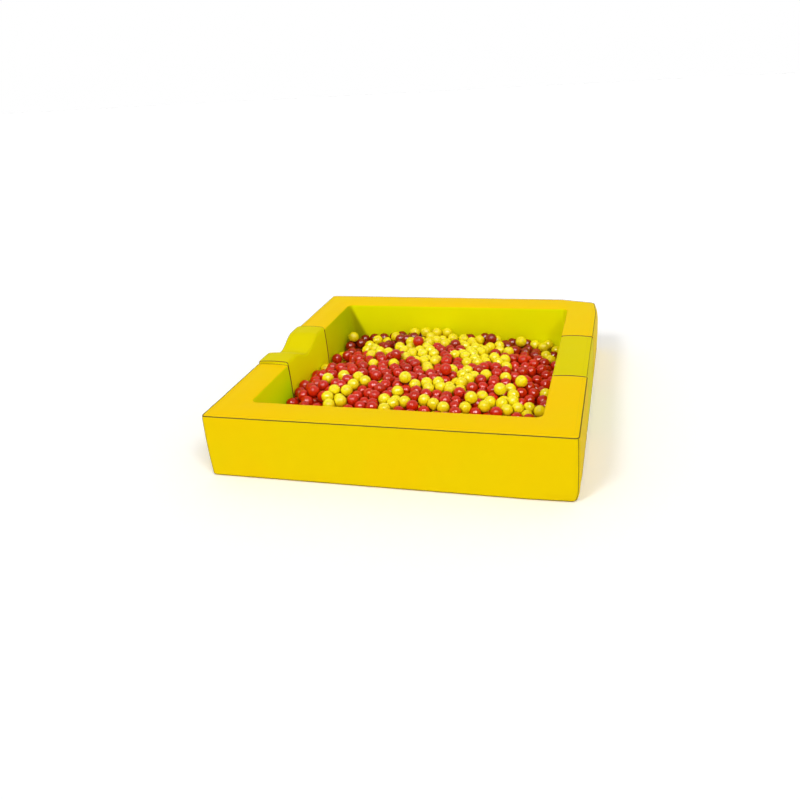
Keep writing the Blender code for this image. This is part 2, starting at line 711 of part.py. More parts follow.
class BedMesh:
    """Points and faces of one colour's layer, with each point made once."""

    def __init__(self, bed, side):
        self.bed = bed
        self.side = side
        self.points = []
        self.faces = []
        self.numbers = {}

    def point(self, key, z):
        """The number of a cell corner's point at one height, moved to this layer's side of the border."""
        if (key, z) not in self.numbers:
            place = self.bed.places[key] + self.side * self.bed.shifts.get(key, np.zeros(2))
            self.numbers[key, z] = self.add((place[0], place[1], z))
        return self.numbers[key, z]

    def add(self, point):
        self.points.append(point)
        return len(self.points) - 1

    def dome(self, ball):
        """The upper half of a ball: rings of points on the sphere, and the valley round them."""
        x, y = self.bed.spots[ball]
        keys = self.bed.corners[ball]
        rings = []
        for share in RING_SHARES:
            z = self.bed.heights[ball] + BALL_RADIUS * math.sqrt(1 - share ** 2)
            rings.append([])
            for key in keys:
                out = self.bed.places[key] - (x, y)
                out *= share * BALL_RADIUS / np.linalg.norm(out)
                rings[-1].append(self.add((x + out[0], y + out[1], z)))
        rings.append([self.point(key, self.bed.valleys[key]) for key in keys])
        self.faces.append(tuple(rings[0]))
        for upper, lower in zip(rings, rings[1:]):
            for i in range(len(keys)):
                self.faces.append((upper[i - 1], lower[i - 1], lower[i], upper[i]))

    def flat(self, ball, z):
        self.faces.append(tuple(self.point(key, z) for key in self.bed.corners[ball]))

    def upright(self, near, far, low):
        """A wall from the valley down to low, between two corners."""
        self.faces.append((self.point(near, self.bed.valleys[near]), self.point(near, low),
                           self.point(far, low), self.point(far, self.bed.valleys[far])))


def red_layer(bed):
    """The red balls, joined side by side, with a hole through the layer for each yellow clump."""
    layer = BedMesh(bed, 1)
    for ball in bed.balls:
        if ball in bed.yellow:
            continue
        keys = bed.corners[ball]
        layer.dome(ball)
        layer.flat(ball, bed.split)
        for i, other in enumerate(bed.neighbours(ball)):
            if not bed.is_ball(other) or other in bed.yellow:
                layer.upright(keys[i - 1], keys[i], bed.split)
    return layer


def yellow_layer(bed):
    """The yellow balls, standing through the red layer on the floor layer that joins them."""
    layer = BedMesh(bed, -1)
    low = bed.split - FIT_GAP
    rim = {}
    for ball in bed.balls:
        keys = bed.corners[ball]
        is_yellow = ball in bed.yellow
        if is_yellow:
            layer.dome(ball)
        else:
            layer.flat(ball, low)
        for i, other in enumerate(bed.neighbours(ball)):
            near, far = keys[i - 1], keys[i]
            if not bed.is_ball(other):
                rim[near] = far
                upper = [layer.point(key, bed.valleys[key] if is_yellow else low) for key in (near, far)]
                lower = [layer.point(key, bed.floor) for key in (near, far)]
                steps = [[layer.point(key, low)] if is_yellow and key in bed.shifts else []
                         for key in (near, far)]
                layer.faces.append((upper[0], *steps[0], lower[0], lower[1], *steps[1], upper[1]))
            elif is_yellow and other not in bed.yellow:
                layer.upright(near, far, low)
    first = next(iter(rim))
    loop = [first]
    while rim[loop[-1]] != first:
        loop.append(rim[loop[-1]])
    layer.faces.append(tuple(layer.point(key, bed.floor) for key in loop))
    return layer


def sphere_mesh():
    """Points and faces of one play ball round the origin."""
    ball = bmesh.new()
    bmesh.ops.create_icosphere(ball, subdivisions=2, radius=BALL_RADIUS)
    points = [tuple(point.co) for point in ball.verts]
    faces = [tuple(point.index for point in face.verts) for face in ball.faces]
    ball.free()
    return points, faces


def seat_height(points, faces, tree, x, y, high):
    """The lowest height at which a ball over x, y stays clear of the layers, found by halving."""
    def touches(z):
        moved = [(px + x, py + y, pz + z) for px, py, pz in points]
        return bool(tree.overlap(BVHTree.FromPolygons(moved, faces)))

    low = high
    while not touches(low):
        low -= BALL_RADIUS * SEARCH_SHARE
    high = low + BALL_RADIUS * SEARCH_SHARE
    while high - low > SEAT_CLEARANCE / 2:
        middle = (low + high) / 2
        if touches(middle):
            low = middle
        else:
            high = middle
    return high + SEAT_CLEARANCE


def add_balls():
    holder = add_holder("balls")
    bed = BallBed()
    layers = (("red_ball_layer", red_layer(bed), red_ball_plastic),
              ("yellow_ball_layer", yellow_layer(bed), yellow_ball_plastic))
    points, faces = [], []
    for name, layer, finish in layers:
        add_object(name, layer.points, layer.faces, finish, holder)
        faces += [tuple(number + len(points) for number in face) for face in layer.faces]
        points += layer.points
    tree = BVHTree.FromPolygons(points, faces)
    ball_points, ball_faces = sphere_mesh()
    high = bed.top_heights() + BALL_RADIUS * 2
    counts = {}
    for colour, share_x, share_y in LOOSE_BALLS:
        counts[colour] = counts.get(colour, 0) + 1
        x, y = share_x * (INSIDE_X - BALL_RADIUS), share_y * (INSIDE_Y - BALL_RADIUS)
        z = seat_height(ball_points, ball_faces, tree, x, y, high)
        finish = red_ball_plastic if colour == "red" else yellow_ball_plastic
        add_object("loose_ball_" + colour + "_" + str(counts[colour]),
                   [(px + x, py + y, pz + z) for px, py, pz in ball_points], ball_faces, finish, holder,
                   (x, y, z))


def build():
    for made in list(bpy.data.objects):
        bpy.data.objects.remove(made, do_unlink=True)
    add_u_module("front", -1)
    add_u_module("rear", 1)
    add_side_module("left_entry", -1)
    add_side_module("right_side", 1)
    add_mat()
    add_balls()


build()
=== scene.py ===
"""Looks of the ball pit: sewn vinyl covers over the foam walls and a heap of play balls inside."""
import math

import bpy
import numpy as np
from mathutils import Matrix, Vector


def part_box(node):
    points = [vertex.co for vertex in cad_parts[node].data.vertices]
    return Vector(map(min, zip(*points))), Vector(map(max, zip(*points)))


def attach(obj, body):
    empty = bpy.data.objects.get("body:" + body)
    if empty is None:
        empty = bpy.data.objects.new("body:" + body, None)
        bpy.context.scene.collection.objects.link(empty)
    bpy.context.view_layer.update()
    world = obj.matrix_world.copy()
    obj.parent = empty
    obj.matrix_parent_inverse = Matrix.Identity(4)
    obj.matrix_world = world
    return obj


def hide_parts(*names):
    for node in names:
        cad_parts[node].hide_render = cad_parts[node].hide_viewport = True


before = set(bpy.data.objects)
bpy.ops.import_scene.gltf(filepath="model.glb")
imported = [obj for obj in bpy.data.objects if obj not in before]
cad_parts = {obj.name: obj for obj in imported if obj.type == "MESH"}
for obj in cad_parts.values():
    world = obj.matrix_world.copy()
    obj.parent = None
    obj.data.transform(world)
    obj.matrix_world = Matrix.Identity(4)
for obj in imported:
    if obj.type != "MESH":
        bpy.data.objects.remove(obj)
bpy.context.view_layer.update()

SHUFFLE = np.random.default_rng(11)

# Sizes in metres, as the solids have them; both side modules share the side sizes
HALF = 1.0
HEIGHT = 0.37
THICK = 0.205
INSIDE = HALF - THICK
ENTRY_HEIGHT = 0.388
DIP = 0.062
DIP_REACH = 0.19
SIDE_HALF = 0.29835
ARM_END = 0.30165
OUTER_CORNER = 0.028
INNER_CORNER = 0.036
WALL_TOP_EDGE = 0.009
SIDE_TOP_EDGE = 0.015
FOOT_EDGE = 0.014
JOINT_EDGE = 0.008
SWELL = 0.004
CROWN = 0.004
LIFT = 0.0003
FIT_GAP = 0.0003
COVER = 0.001
BASE_PANEL = 0.0012
FOAM_IN = 0.004
FOAM_LOW = 0.009
BALL = 0.0375

# The floor mat: its top, its rounded edge and how far it reaches past the walls' inner faces
MAT_TOP = 0.03
MAT_EDGE = 0.005
MAT_PAST = 0.0009

# Zips in the base panels: half lengths, and sizes of slot, teeth and slider
WALL_ZIP = 0.70
SIDE_ZIP = 0.21
MAT_ZIP = 0.60
MAT_ZIP_Y = 0.12 - INSIDE
ZIP_SLOT = 0.014
ZIP_LEVEL = 0.0037
TOOTH_PITCH = 0.0025
SLIDER_LENGTH = 0.012

# Points in the quarter circles of foot and top edges and of joint edges, cuts round a U's corner, and the
# seams' places in points from the end of a side and from the foot
EDGE_POINTS = 6
JOINT_POINTS = 5
COVER_CORNER_CUTS = 15
BASE_CORNER_CUTS = 9
SEAM_IN = 3
FOOT_SEAM = 4

# Wall modules: name, body, and the sides of X and Y that they stand on
WALLS = (("front", "pit", 0, -1), ("rear", "rear_module", 0, 1), ("left_entry", "left_entry", -1, 0),
         ("right_side", "right_side", 1, 0))

# Radii of the sewn edges
TOP_WELTS = {"front": 0.0030, "rear": 0.0020, "left_entry": 0.0015, "right_side": 0.0015}
FOOT_WELT = 0.0014
CORNER_WELT = 0.0018
JOINT_EDGE_WELT = 0.0022
WELT_SIDES = 7

# Waves on the covers, each a size and a depth: puckers along seams and at joint ends, and slack in the
# panels; how far puckers reach; and the share of seam puckers that side modules have
SEAM_PUCKER = (0.028, 0.0004)
END_PUCKER = (0.05, 0.0006)
SLACK = ((0.33, 0.0011), (0.14, 0.0005))
SEAM_REACH = 0.022
END_REACH = 0.03
SIDE_PUCKERS = 0.25

# Where the photograph was taken from: the eye, the ways ahead and right, and the focal length and the
# place that the lens looks at, in picture pixels
EYE = np.array((1.17, -4.10, 2.13))
AHEAD = np.array((-0.237, 0.888, -0.394)) / np.linalg.norm((-0.237, 0.888, -0.394))
RIGHT = np.cross(AHEAD, np.cross((0.971, 0.231, -0.063), AHEAD))
RIGHT = RIGHT / np.linalg.norm(RIGHT)
UP = np.cross(RIGHT, AHEAD)
FOCUS = 744.0
MIDDLE = (439.4, 358.6)
PICTURE = 800.0


# Colours and materials

def linear(*channels):
    """sRGB channels of 0 to 255 as scene-linear light."""
    shares = np.array(channels) / 255
    light = np.where(shares <= 0.04045, shares / 12.92, ((shares + 0.055) / 1.055) ** 2.4)
    return (*light.tolist(), 1.0)


class Tree:
    """A tree of nodes and short ways to add to it."""

    def __init__(self, owner):
        owner.use_nodes = True
        self.nodes = owner.node_tree.nodes
        self.links = owner.node_tree.links

    def add(self, kind, inputs=None, **settings):
        node = self.nodes.new("ShaderNode" + kind)
        for key, value in settings.items():
            setattr(node, key, value)
        for key, value in (inputs or {}).items():
            self.put(value, node.inputs[key])
        return node

    def put(self, value, socket):
        if isinstance(value, bpy.types.NodeSocket):
            self.links.new(value, socket)
        else:
            socket.default_value = value

    def sums(self, operation, first, second=0.0, third=0.0):
        """The values joined by a Math node."""
        return self.add("Math", {0: first, 1: second, 2: third}, operation=operation).outputs[0]

    def span(self, value, low, high, start=0.0, end=1.0):
        """value carried smoothly from low..high to start..end."""
        inputs = {"Value": value, "From Min": low, "From Max": high, "To Min": start, "To Max": end}
        return self.add("MapRange", inputs, interpolation_type="SMOOTHSTEP").outputs["Result"]

    def mix(self, share, first, second, blend_type="MIX"):
        node = self.add("Mix", data_type="RGBA", blend_type=blend_type)
        self.put(share, node.inputs["Factor"])
        self.put(first, node.inputs[6])
        self.put(second, node.inputs[7])
        return node.outputs[2]


class Finish(Tree):
    """One material, its patterns on Object coordinates."""

    def __init__(self, name):
        self.material = bpy.data.materials.new(name)
        super().__init__(self.material)
        self.shader = self.nodes["Principled BSDF"]
        self.place = self.add("TexCoord").outputs["Object"]

    def noise(self, scale, detail=2.0, roughness=0.5):
        inputs = {"Vector": self.place, "Scale": scale, "Detail": detail, "Roughness": roughness}
        return self.add("TexNoise", inputs).outputs["Fac"]

    def cells(self, scale, randomness=1.0, **settings):
        """Distances in cells round scattered points, or round even ones where randomness is 0."""
        inputs = {"Vector": self.place, "Scale": scale, "Randomness": randomness}
        return self.add("TexVoronoi", inputs, **settings).outputs["Distance"]

    def attribute(self, name, output="Fac"):
        return self.add("Attribute", attribute_name=name).outputs[output]

    def bump(self, height, distance, strength, under=None):
        inputs = {"Height": height, "Distance": distance, "Strength": strength}
        if under is not None:
            inputs["Normal"] = under
        return self.add("Bump", inputs).outputs["Normal"]

    def set(self, **inputs):
        for key, value in inputs.items():
            self.put(value, self.shader.inputs[key.replace("_", " ")])
        return self.material


def vinyl(name, plain, warm):
    """Coated cloth: a fine grain in cells, faint creases, and a colour that wanders and is multiplied by the
    painted light and shade that an attribute holds.
    """
    finish = Finish(name)
    patch = finish.span(finish.noise(1.7, 2.0), 0.35, 0.7)
    colour = finish.mix(patch, linear(*plain), linear(*warm))
    # painted light and shade: the colour times per-point factors for lit tops, green bounce light inside and
    # shaded corners
    colour = finish.mix(1.0, colour, finish.attribute("tone", "Color"), "MULTIPLY")
    grain = finish.span(finish.cells(620.0, feature="DISTANCE_TO_EDGE"), 0.0, 0.16)
    normal = finish.bump(finish.noise(9.0, 3.0), 0.0035, 0.5)
    normal = finish.bump(grain, 0.00012, 0.5, normal)
    scuff = finish.span(finish.noise(34.0, 6.0, 0.62), 0.5, 0.78)
    rough = finish.sums("MULTIPLY_ADD", scuff, 0.12, 0.46)
    return finish.set(Base_Color=colour, Roughness=rough, Normal=normal, Specular_IOR_Level=0.015)


def foam_finish():
    """Open-cell foam: small round pores and a slightly uneven cream colour."""
    finish = Finish("cut_foam")
    colour = finish.mix(finish.noise(6.0, 4.0), linear(226, 208, 160), linear(244, 234, 204))
    return finish.set(Base_Color=colour, Roughness=0.95, Normal=finish.bump(finish.cells(420.0), 0.0008, 0.8))


def base_finish():
    """Black non-slip cloth with rows of small raised rubber dots."""
    finish = Finish("non_slip_base")
    dots = finish.span(finish.cells(110.0, 0.0, voronoi_dimensions="2D"), 0.22, 0.34, 1.0, 0.0)
    weave = finish.noise(700.0, 2.0)
    colour = finish.mix(dots, linear(38, 39, 42), linear(66, 67, 70))
    normal = finish.bump(dots, 0.0006, 0.9, finish.bump(weave, 0.0002, 0.5))
    return finish.set(Base_Color=colour, Roughness=finish.span(dots, 0.0, 1.0, 0.85, 0.5), Normal=normal)


def metal_finish():
    """Zinc slider: satin metal with worn, brighter patches."""
    finish = Finish("zip_metal_worn")
    wear = finish.span(finish.noise(160.0, 5.0), 0.42, 0.66)
    colour = finish.mix(wear, linear(118, 120, 124), linear(188, 189, 192))
    return finish.set(Base_Color=colour, Roughness=finish.span(wear, 0.0, 1.0, 0.42, 0.26), Metallic=1.0,
                      Normal=finish.bump(finish.noise(420.0, 3.0), 0.0001, 0.4))


def pile_finish():
    """Hook and loop tape: a fuzzy pile of short fibres."""
    finish = Finish("hook_and_loop_pile")
    fuzz = finish.noise(1400.0, 3.0, 0.7)
    colour = finish.mix(fuzz, linear(150, 92, 40), linear(226, 176, 62))
    return finish.set(Base_Color=colour, Roughness=0.95, Normal=finish.bump(fuzz, 0.0012, 0.9),
                      Sheen_Weight=0.4)


def ribbed(name, dark, light, rough, ribs, strength, specular):
    """Woven or twisted thread: slanting waves of a scale and a distortion, raised by a strength."""
    finish = Finish(name)
    inputs = {"Vector": finish.place, "Scale": ribs[0], "Distortion": ribs[1]}
    wave = finish.add("TexWave", inputs, bands_direction="DIAGONAL").outputs["Fac"]
    return finish.set(Base_Color=finish.mix(wave, linear(*dark), linear(*light)), Roughness=rough,
                      Normal=finish.bump(wave, 0.0003, strength), Specular_IOR_Level=specular)


def ball_finish(name, light, deep, pale, gap):
    """Moulded play ball: glossy plastic, each ball a tint of its own, partly painted shade, with a fine mould
    line.

    The gap colour is painted shade: ambient occlusion blends it in where other balls are close.
    """
    finish = Finish(name)
    # the tint, random and darkened as painted shade by the rear wall, runs from deep to light
    colour = finish.mix(finish.span(finish.attribute("tint"), 0.0, 1.0), linear(*deep), linear(*light))
    cloud = finish.span(finish.noise(30.0, 3.0), 0.45, 0.8, 0.0, 0.35)
    colour = finish.mix(cloud, colour, linear(*pale))
    edge = finish.span(finish.sums("ABSOLUTE", finish.attribute("mould")), 0.0, 0.045, 1.0, 0.0)
    colour = finish.mix(finish.sums("MULTIPLY", edge, 0.16), colour, linear(*deep))
    # painted shade between balls: ambient occlusion blends in the gap colour
    near = finish.add("AmbientOcclusion", {"Distance": 0.022}, samples=6).outputs["AO"]
    colour = finish.mix(finish.span(near, 0.10, 0.55, 1.0, 0.0), colour, linear(*gap))
    scuff = finish.span(finish.noise(85.0, 5.0, 0.6), 0.48, 0.8)
    rough = finish.sums("MULTIPLY_ADD", scuff, 0.08, 0.05)
    normal = finish.bump(edge, 0.0003, 0.5, finish.bump(finish.noise(22.0, 2.0), 0.0006, 0.2))
    return finish.set(Base_Color=colour, Roughness=rough, Normal=normal, Specular_IOR_Level=0.2)


WALL_VINYL = vinyl("wall_vinyl_warm", (242, 211, 1), (246, 208, 1))
SIDE_VINYL = vinyl("entry_vinyl_lemon", (228, 212, 2), (231, 214, 2))
MAT_VINYL = vinyl("mat_vinyl_warm", (238, 205, 3), (246, 204, 3))
TWISTED = (0.6, (260.0, 1.0), 0.6, 0.1)
WELT = ribbed("welt_olive", (80, 64, 4), (124, 102, 4), *TWISTED)
JOINT_WELT = ribbed("joint_welt_brown", (86, 42, 22), (138, 80, 34), *TWISTED)
THREAD = ribbed("sewing_thread_yellow", (190, 156, 8), (216, 184, 10), *TWISTED)
ZIP_CLOTH = ribbed("zip_tape_woven", (176, 146, 12), (226, 192, 22), 0.8, (300.0, 0.0), 0.7, 0.5)
FOAM = foam_finish()
BASE = base_finish()
ZIP_METAL = metal_finish()
PILE = pile_finish()
# Each ball colour: light and deep ends of its tint, which also carries painted shade by the rear wall, pale
# clouds, and the painted shade in the gaps between balls
BALL_FINISHES = {
    "red": ball_finish("red_ball_plastic_gloss", (214, 39, 5), (142, 34, 4), (218, 52, 10), (108, 20, 6)),
    "yellow": ball_finish("yellow_ball_plastic_gloss", (252, 234, 12), (247, 224, 10), (252, 238, 40),
                          (140, 66, 6)),
}

# Painted light and shade over the covers, as colour factors in linear light: warmer lit tops, painted green
# bounce light on the faces towards the pit, and painted shade on the left one, dark by the rear corner
PLAIN_TONE = np.array((1.0, 1.0, 1.0))
TOP_PAINTED_LIGHT = np.array((1.08, 1.0, 1.0))
REAR_PAINTED_BOUNCE = np.array((1.03, 1.47, 1.0))
REAR_PAINTED_SHADOW = np.array((0.54, 0.76, 1.0))
LEFT_REAR_PAINTED_SHADE = np.array(((0.80, 1.16, 1.0), (0.60, 0.92, 1.0)))
LEFT_FRONT_PAINTED_BOUNCE = np.array(((0.60, 1.53, 1.0), (0.95, 1.45, 1.0)))
OTHER_PAINTED_BOUNCE = np.array((0.95, 1.20, 1.0))
SIDE_INSIDE_PAINTED_BOUNCE = np.array((1.22, 1.45, 1.0))

# Where those factors come in, as a start and a width: by the normals of faces that look up and of upright
# ones, along the left face's two halves, and down its front half
UPWARD = (0.55, 0.4)
UPRIGHT = (-0.75, 0.5)
LEFT_REAR_RUN = (0.3, 0.45)
LEFT_FRONT_RUN = (-0.78, 0.42)
LEFT_FRONT_FALL = (-0.36, 0.2)

# The painted shadow on the rear face: how far it leans out for each metre down, and the width of its edge
SHADE_LEAN = 0.46
SHADE_EDGE = 0.025


# Meshes from grids of points

def quads(rows, columns, round_columns=False):
    """The four corner numbers of each cell of a grid whose points are numbered row by row."""
    row = np.arange(rows - 1)[:, None]
    column = np.arange(columns if round_columns else columns - 1)[None, :]
    far_row, far_column = row + 1, (column + 1) % columns
    corners = (row * columns + column, row * columns + far_column,
               far_row * columns + far_column, far_row * columns + column)
    return np.stack(np.broadcast_arrays(*corners), -1).reshape(-1, 4)


def capped(rows, columns, round_columns=True):
    """The faces of a grid whose rows are rings, with one face over each end."""
    ring = np.arange(columns)
    return [quads(rows, columns, round_columns), np.stack([ring[::-1], ring + (rows - 1) * columns])]


def copies(faces, count, size):
    """The faces of one part again for each of count parts, whose points follow size at a time."""
    return (faces + (np.arange(count) * size)[:, None, None]).reshape(-1, faces.shape[1])


def enclosed(points, groups):
    """The signed volume inside the faces: the sum of the pyramids from the origin to each."""
    total = 0.0
    for group in groups:
        first = points[group[:, 0]]
        for corner in range(1, group.shape[1] - 1):
            across = np.cross(points[group[:, corner]], points[group[:, corner + 1]])
            total += np.einsum("ij,ij->", first, across)
    return total / 6


def added(name, data):
    """A new object in the scene."""
    made = bpy.data.objects.new(name, data)
    bpy.context.scene.collection.objects.link(made)
    return made


def piece(name, points, faces, finish, body, slot, sharp=40, **shades):
    """A mesh that rides on a body. Its faces are one array, or a list with one for each corner count.

    If they point into the volume they are all turned round. shades are values or vectors on the points.
    """
    points = np.asarray(points, float).reshape(-1, 3)
    groups = [np.asarray(group) for group in (faces if isinstance(faces, list) else [faces])]
    if enclosed(points, groups) < 0:
        groups = [group[:, ::-1] for group in groups]
    counts = np.concatenate([np.full(len(group), group.shape[1]) for group in groups])
    corners = np.concatenate([group.ravel() for group in groups])
    mesh = bpy.data.meshes.new(name)
    for part, key, values in ((mesh.vertices, "co", points.astype(np.float32)),
                              (mesh.loops, "vertex_index", corners.astype(np.int32)),
                              (mesh.polygons, "loop_start", (np.cumsum(counts) - counts).astype(np.int32))):
        part.add(len(values))
        part.foreach_set(key, values.ravel())
    mesh.update(calc_edges=True)
    mesh.shade_smooth()
    mesh.set_sharp_from_angle(angle=math.radians(sharp))
    for key, values in shades.items():
        values = np.asarray(values, np.float32).reshape(len(points), -1)
        vector = values.shape[1] == 3
        layer = mesh.attributes.new(key, "FLOAT_VECTOR" if vector else "FLOAT", "POINT")
        layer.data.foreach_set("vector" if vector else "value", values.ravel())
    mesh.materials.append(finish)
    made = added(name, mesh)
    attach(made, body)
    return made


def thicken(made, thickness, offset):
    """A sheet's thickness: all of it inwards where the offset is -1, and half to each side where it is 0."""
    sheet = made.modifiers.new("cloth", "SOLIDIFY")
    sheet.thickness = thickness
    sheet.offset = offset


def unit(vectors):
    return vectors / np.maximum(np.linalg.norm(vectors, axis=-1, keepdims=True), 1e-12)


def spread(low, high, step):
    """Even values from low to high, both included, about step apart."""
    return np.linspace(low, high, max(2, round(abs(high - low) / step) + 1))


def quarter(count):
    """Even angles over a quarter turn."""
    return np.linspace(0, math.pi / 2, count)


def circle(turn):
    """Points at angles on a circle of radius 1."""
    return np.stack([np.cos(turn), np.sin(turn)], -1)


def rounded_box(half_x, half_y, radius, count, shares=()):
    """A ring: an arc of count points round each corner, and points at shares of each side between."""
    arcs = [side * np.array((half_x, half_y)) + radius * circle(turn * math.pi / 2 + quarter(count))
            for turn, side in enumerate(np.array(((1, 1), (-1, 1), (-1, -1), (1, -1))))]
    sides = [arc[-1] + (after[0] - arc[-1]) * np.reshape(shares, (-1, 1))
             for arc, after in zip(arcs, arcs[1:] + arcs[:1])]
    return np.concatenate([part for pair in zip(arcs, sides) for part in pair])


def ramp(values, start, width):
    """0 up to start, 1 from start plus width on, and straight between them."""
    return np.clip((values - start) / width, 0, 1)


def blend(first, second, share):
    """Colours from first to second by a share at each point."""
    return first + (second - first) * share[..., None]


def drift(place, scale, depth):
    """Smooth noise from -depth to depth: five sines of random direction and phase over points."""
    count = 5
    total = 0
    for _ in range(count):
        way = SHUFFLE.normal(size=place.shape[-1])
        way *= SHUFFLE.uniform(0.6, 1.5) * 2 * math.pi / scale / np.linalg.norm(way)
        total = total + np.sin(place @ way + SHUFFLE.uniform(0, 2 * math.pi))
    return total / count * depth


def distances(line):
    """How far along a line of points each of them is."""
    return np.concatenate([[0], np.cumsum(np.linalg.norm(np.diff(line, axis=0), axis=-1))])


def points_at(line, at):
    """The points that are some distances along a line of points."""
    run = distances(line)
    return np.stack([np.interp(at, run, line[:, axis]) for axis in range(3)], -1)


def welt(name, line, radius, finish, body, slot):
    """A sewn edge: a thin round cord half set into the skin, its section square to the line."""
    ahead = unit(np.gradient(line, axis=0))
    across = np.cross(ahead, (0.0317, 0.0213, 1.0))
    side = unit(across)
    upright = np.linalg.norm(across, axis=-1) < 0.2
    side[upright] = unit(np.cross(ahead[upright], (1.0, 0.013, 0.0)))
    axes = np.stack([side, np.cross(side, ahead)], 1)
    ring = circle(np.arange(WELT_SIDES) * 2 * math.pi / WELT_SIDES) @ axes
    return piece(name, line[:, None] + radius * ring, capped(len(line), WELT_SIDES), finish, body, slot)


def stitches(name, lines, body, slot, pitch=0.007, length=0.0045, radius=0.0004):
    """Rows of sewn stitches: a bar of ten points along each line every pitch, pointed at both ends."""
    middles, ways = [], []
    for line in lines:
        at = np.arange(pitch / 2, distances(line)[-1], pitch)
        middles.append(points_at(line, at))
        ways.append(unit(points_at(line, at + 0.001) - middles[-1]))
    middle, way = np.concatenate(middles), np.concatenate(ways)
    side = unit(np.cross(way, (0.21, 0.34, 0.92)))
    up = np.cross(side, way)
    corners = [side * radius, up * radius, -side * radius, -up * radius]
    ring = [way * length * share / 2 + corner for share in (-0.7, 0.7) for corner in corners]
    points = middle[:, None] + np.stack([-way * length / 2] + ring + [way * length / 2], 1)
    tips = np.array(((1, 2, 0), (2, 3, 0), (3, 4, 0), (4, 1, 0), (6, 5, 9), (7, 6, 9), (8, 7, 9), (5, 8, 9)))
    faces = [copies(part, len(middle), 10) for part in (quads(2, 4, True) + 1, tips)]
    return piece(name, points, faces, THREAD, body, slot)


# Wall modules

def wall_cuts(outer, inner, out, top=HEIGHT, drawn=0.0):
    """Cuts across a wall: its two faces in plan, the way from inside out, the top and the draw-in."""
    count = len(outer)
    return {"outer": outer, "inner": inner, "out": np.broadcast_to(out, (count, 2)),
            "top": np.broadcast_to(top, count), "drawn": np.broadcast_to(drawn, count)}


def straight_path(side_x, side_y, run, top=HEIGHT, drawn=0.0):
    """Cuts at places run along a straight wall on side_x or on side_y."""
    side = np.array((side_x, side_y))
    along = run[:, None] * np.abs(side[::-1])
    return wall_cuts(side * HALF + along, side * INSIDE + along, side, top, drawn)


def corner_path(side_x, side_y, count):
    """Cuts that fan round a corner, each face an arc round its own centre."""
    side = np.array((side_x, side_y))
    out = side * circle(quarter(count))
    return wall_cuts(side * (HALF - OUTER_CORNER) + out * OUTER_CORNER,
                     side * (INSIDE - INNER_CORNER) + out * INNER_CORNER, out)


def chained(paths):
    return {key: np.concatenate([path[key] for path in paths]) for key in paths[0]}


def backwards(path):
    return {key: values[::-1] for key, values in path.items()}


def end_steps(offset):
    """Distances from a joint's end plane and the draw-in there, a quarter circle."""
    radius = JOINT_EDGE - offset
    turn = quarter(JOINT_POINTS)
    return JOINT_EDGE - radius * np.cos(turn), radius * (1 - np.sin(turn))


def u_path(side_y, offset, step, corner_cuts=COVER_CORNER_CUTS, x=None):
    """Cuts round a whole U: up the left arm, round the corners and the beam, and down the right arm.

    x are the cuts along the beam, where they aren't even.
    """
    far, drawn = end_steps(offset)
    corner = INSIDE - INNER_CORNER
    y = np.concatenate([ARM_END + far, spread(ARM_END + JOINT_EDGE, corner, step)[1:-1]])
    drawn = np.concatenate([drawn, np.zeros(len(y) - len(drawn))])
    left, right = (chained([straight_path(side_x, 0, side_y * y, drawn=drawn),
                            corner_path(side_x, side_y, corner_cuts)]) for side_x in (-1, 1))
    x = spread(-corner, corner, step)[1:-1] if x is None else x
    return chained([left, straight_path(0, side_y, x), backwards(right)])


def entry_top(y):
    """Level by the joints, with a cosine dip of DIP between them."""
    dip = DIP * (1 + np.cos(math.pi * np.clip(y / DIP_REACH, -1, 1))) / 2
    return ENTRY_HEIGHT - dip


def side_path(side_x, offset, step, middle=None):
    """Cuts along a side module from front to rear. middle are those between its ends, if not even."""
    far, drawn = end_steps(offset)
    if middle is None:
        middle = spread(JOINT_EDGE - SIDE_HALF, SIDE_HALF - JOINT_EDGE, step)[1:-1]
    y = np.concatenate([far - SIDE_HALF, middle, (SIDE_HALF - far)[::-1]])
    drawn = np.concatenate([drawn, np.zeros(len(middle)), drawn[::-1]])
    return straight_path(side_x, 0, y, entry_top(y) if side_x < 0 else HEIGHT, drawn)


def wall_grid(path, edge, offset, step, foot=None):
    """Points of a wall's skin, row by row along the path, from the outer foot over the top to the inner.

    The feet and top edges are quarter circles, the sides swell between them as a parabola, and so does
    the top. Returns the grid and how many points go up a side.
    """
    turn = quarter(EDGE_POINTS)
    foot_radius, top_radius = FOOT_EDGE - offset, edge - offset
    foot_z = LIFT + FOOT_EDGE
    rise = HEIGHT - edge - foot_z
    share = spread(0, rise, step)[1:-1] / rise
    inset = np.concatenate([SWELL + FOOT_EDGE - foot_radius * np.sin(turn),
                            offset + SWELL * (2 * share - 1) ** 2,
                            SWELL + edge - top_radius * np.cos(turn)]) + path["drawn"][:, None]
    shoulder = (path["top"] - CROWN - edge - path["drawn"])[:, None]
    z = np.concatenate([np.tile(foot_z - foot_radius * np.cos(turn), (len(shoulder), 1)),
                        foot_z + (shoulder - foot_z) * share, shoulder + top_radius * np.sin(turn)], 1)
    if foot is not None:
        z = np.maximum(z, foot)
    sides = []
    for face, way in (("outer", -1), ("inner", 1)):
        plan = path[face][:, None] + way * path["out"][:, None] * inset[..., None]
        sides.append(np.concatenate([plan, z[..., None]], -1))
    across = spread(0, 1, step / THICK)[1:-1]
    top = sides[0][:, -1:] + (sides[1][:, -1:] - sides[0][:, -1:]) * across[None, :, None]
    top[..., 2] += CROWN * (1 - (2 * across - 1) ** 2)
    return np.concatenate([sides[0], top, sides[1][:, ::-1]], 1), inset.shape[1]


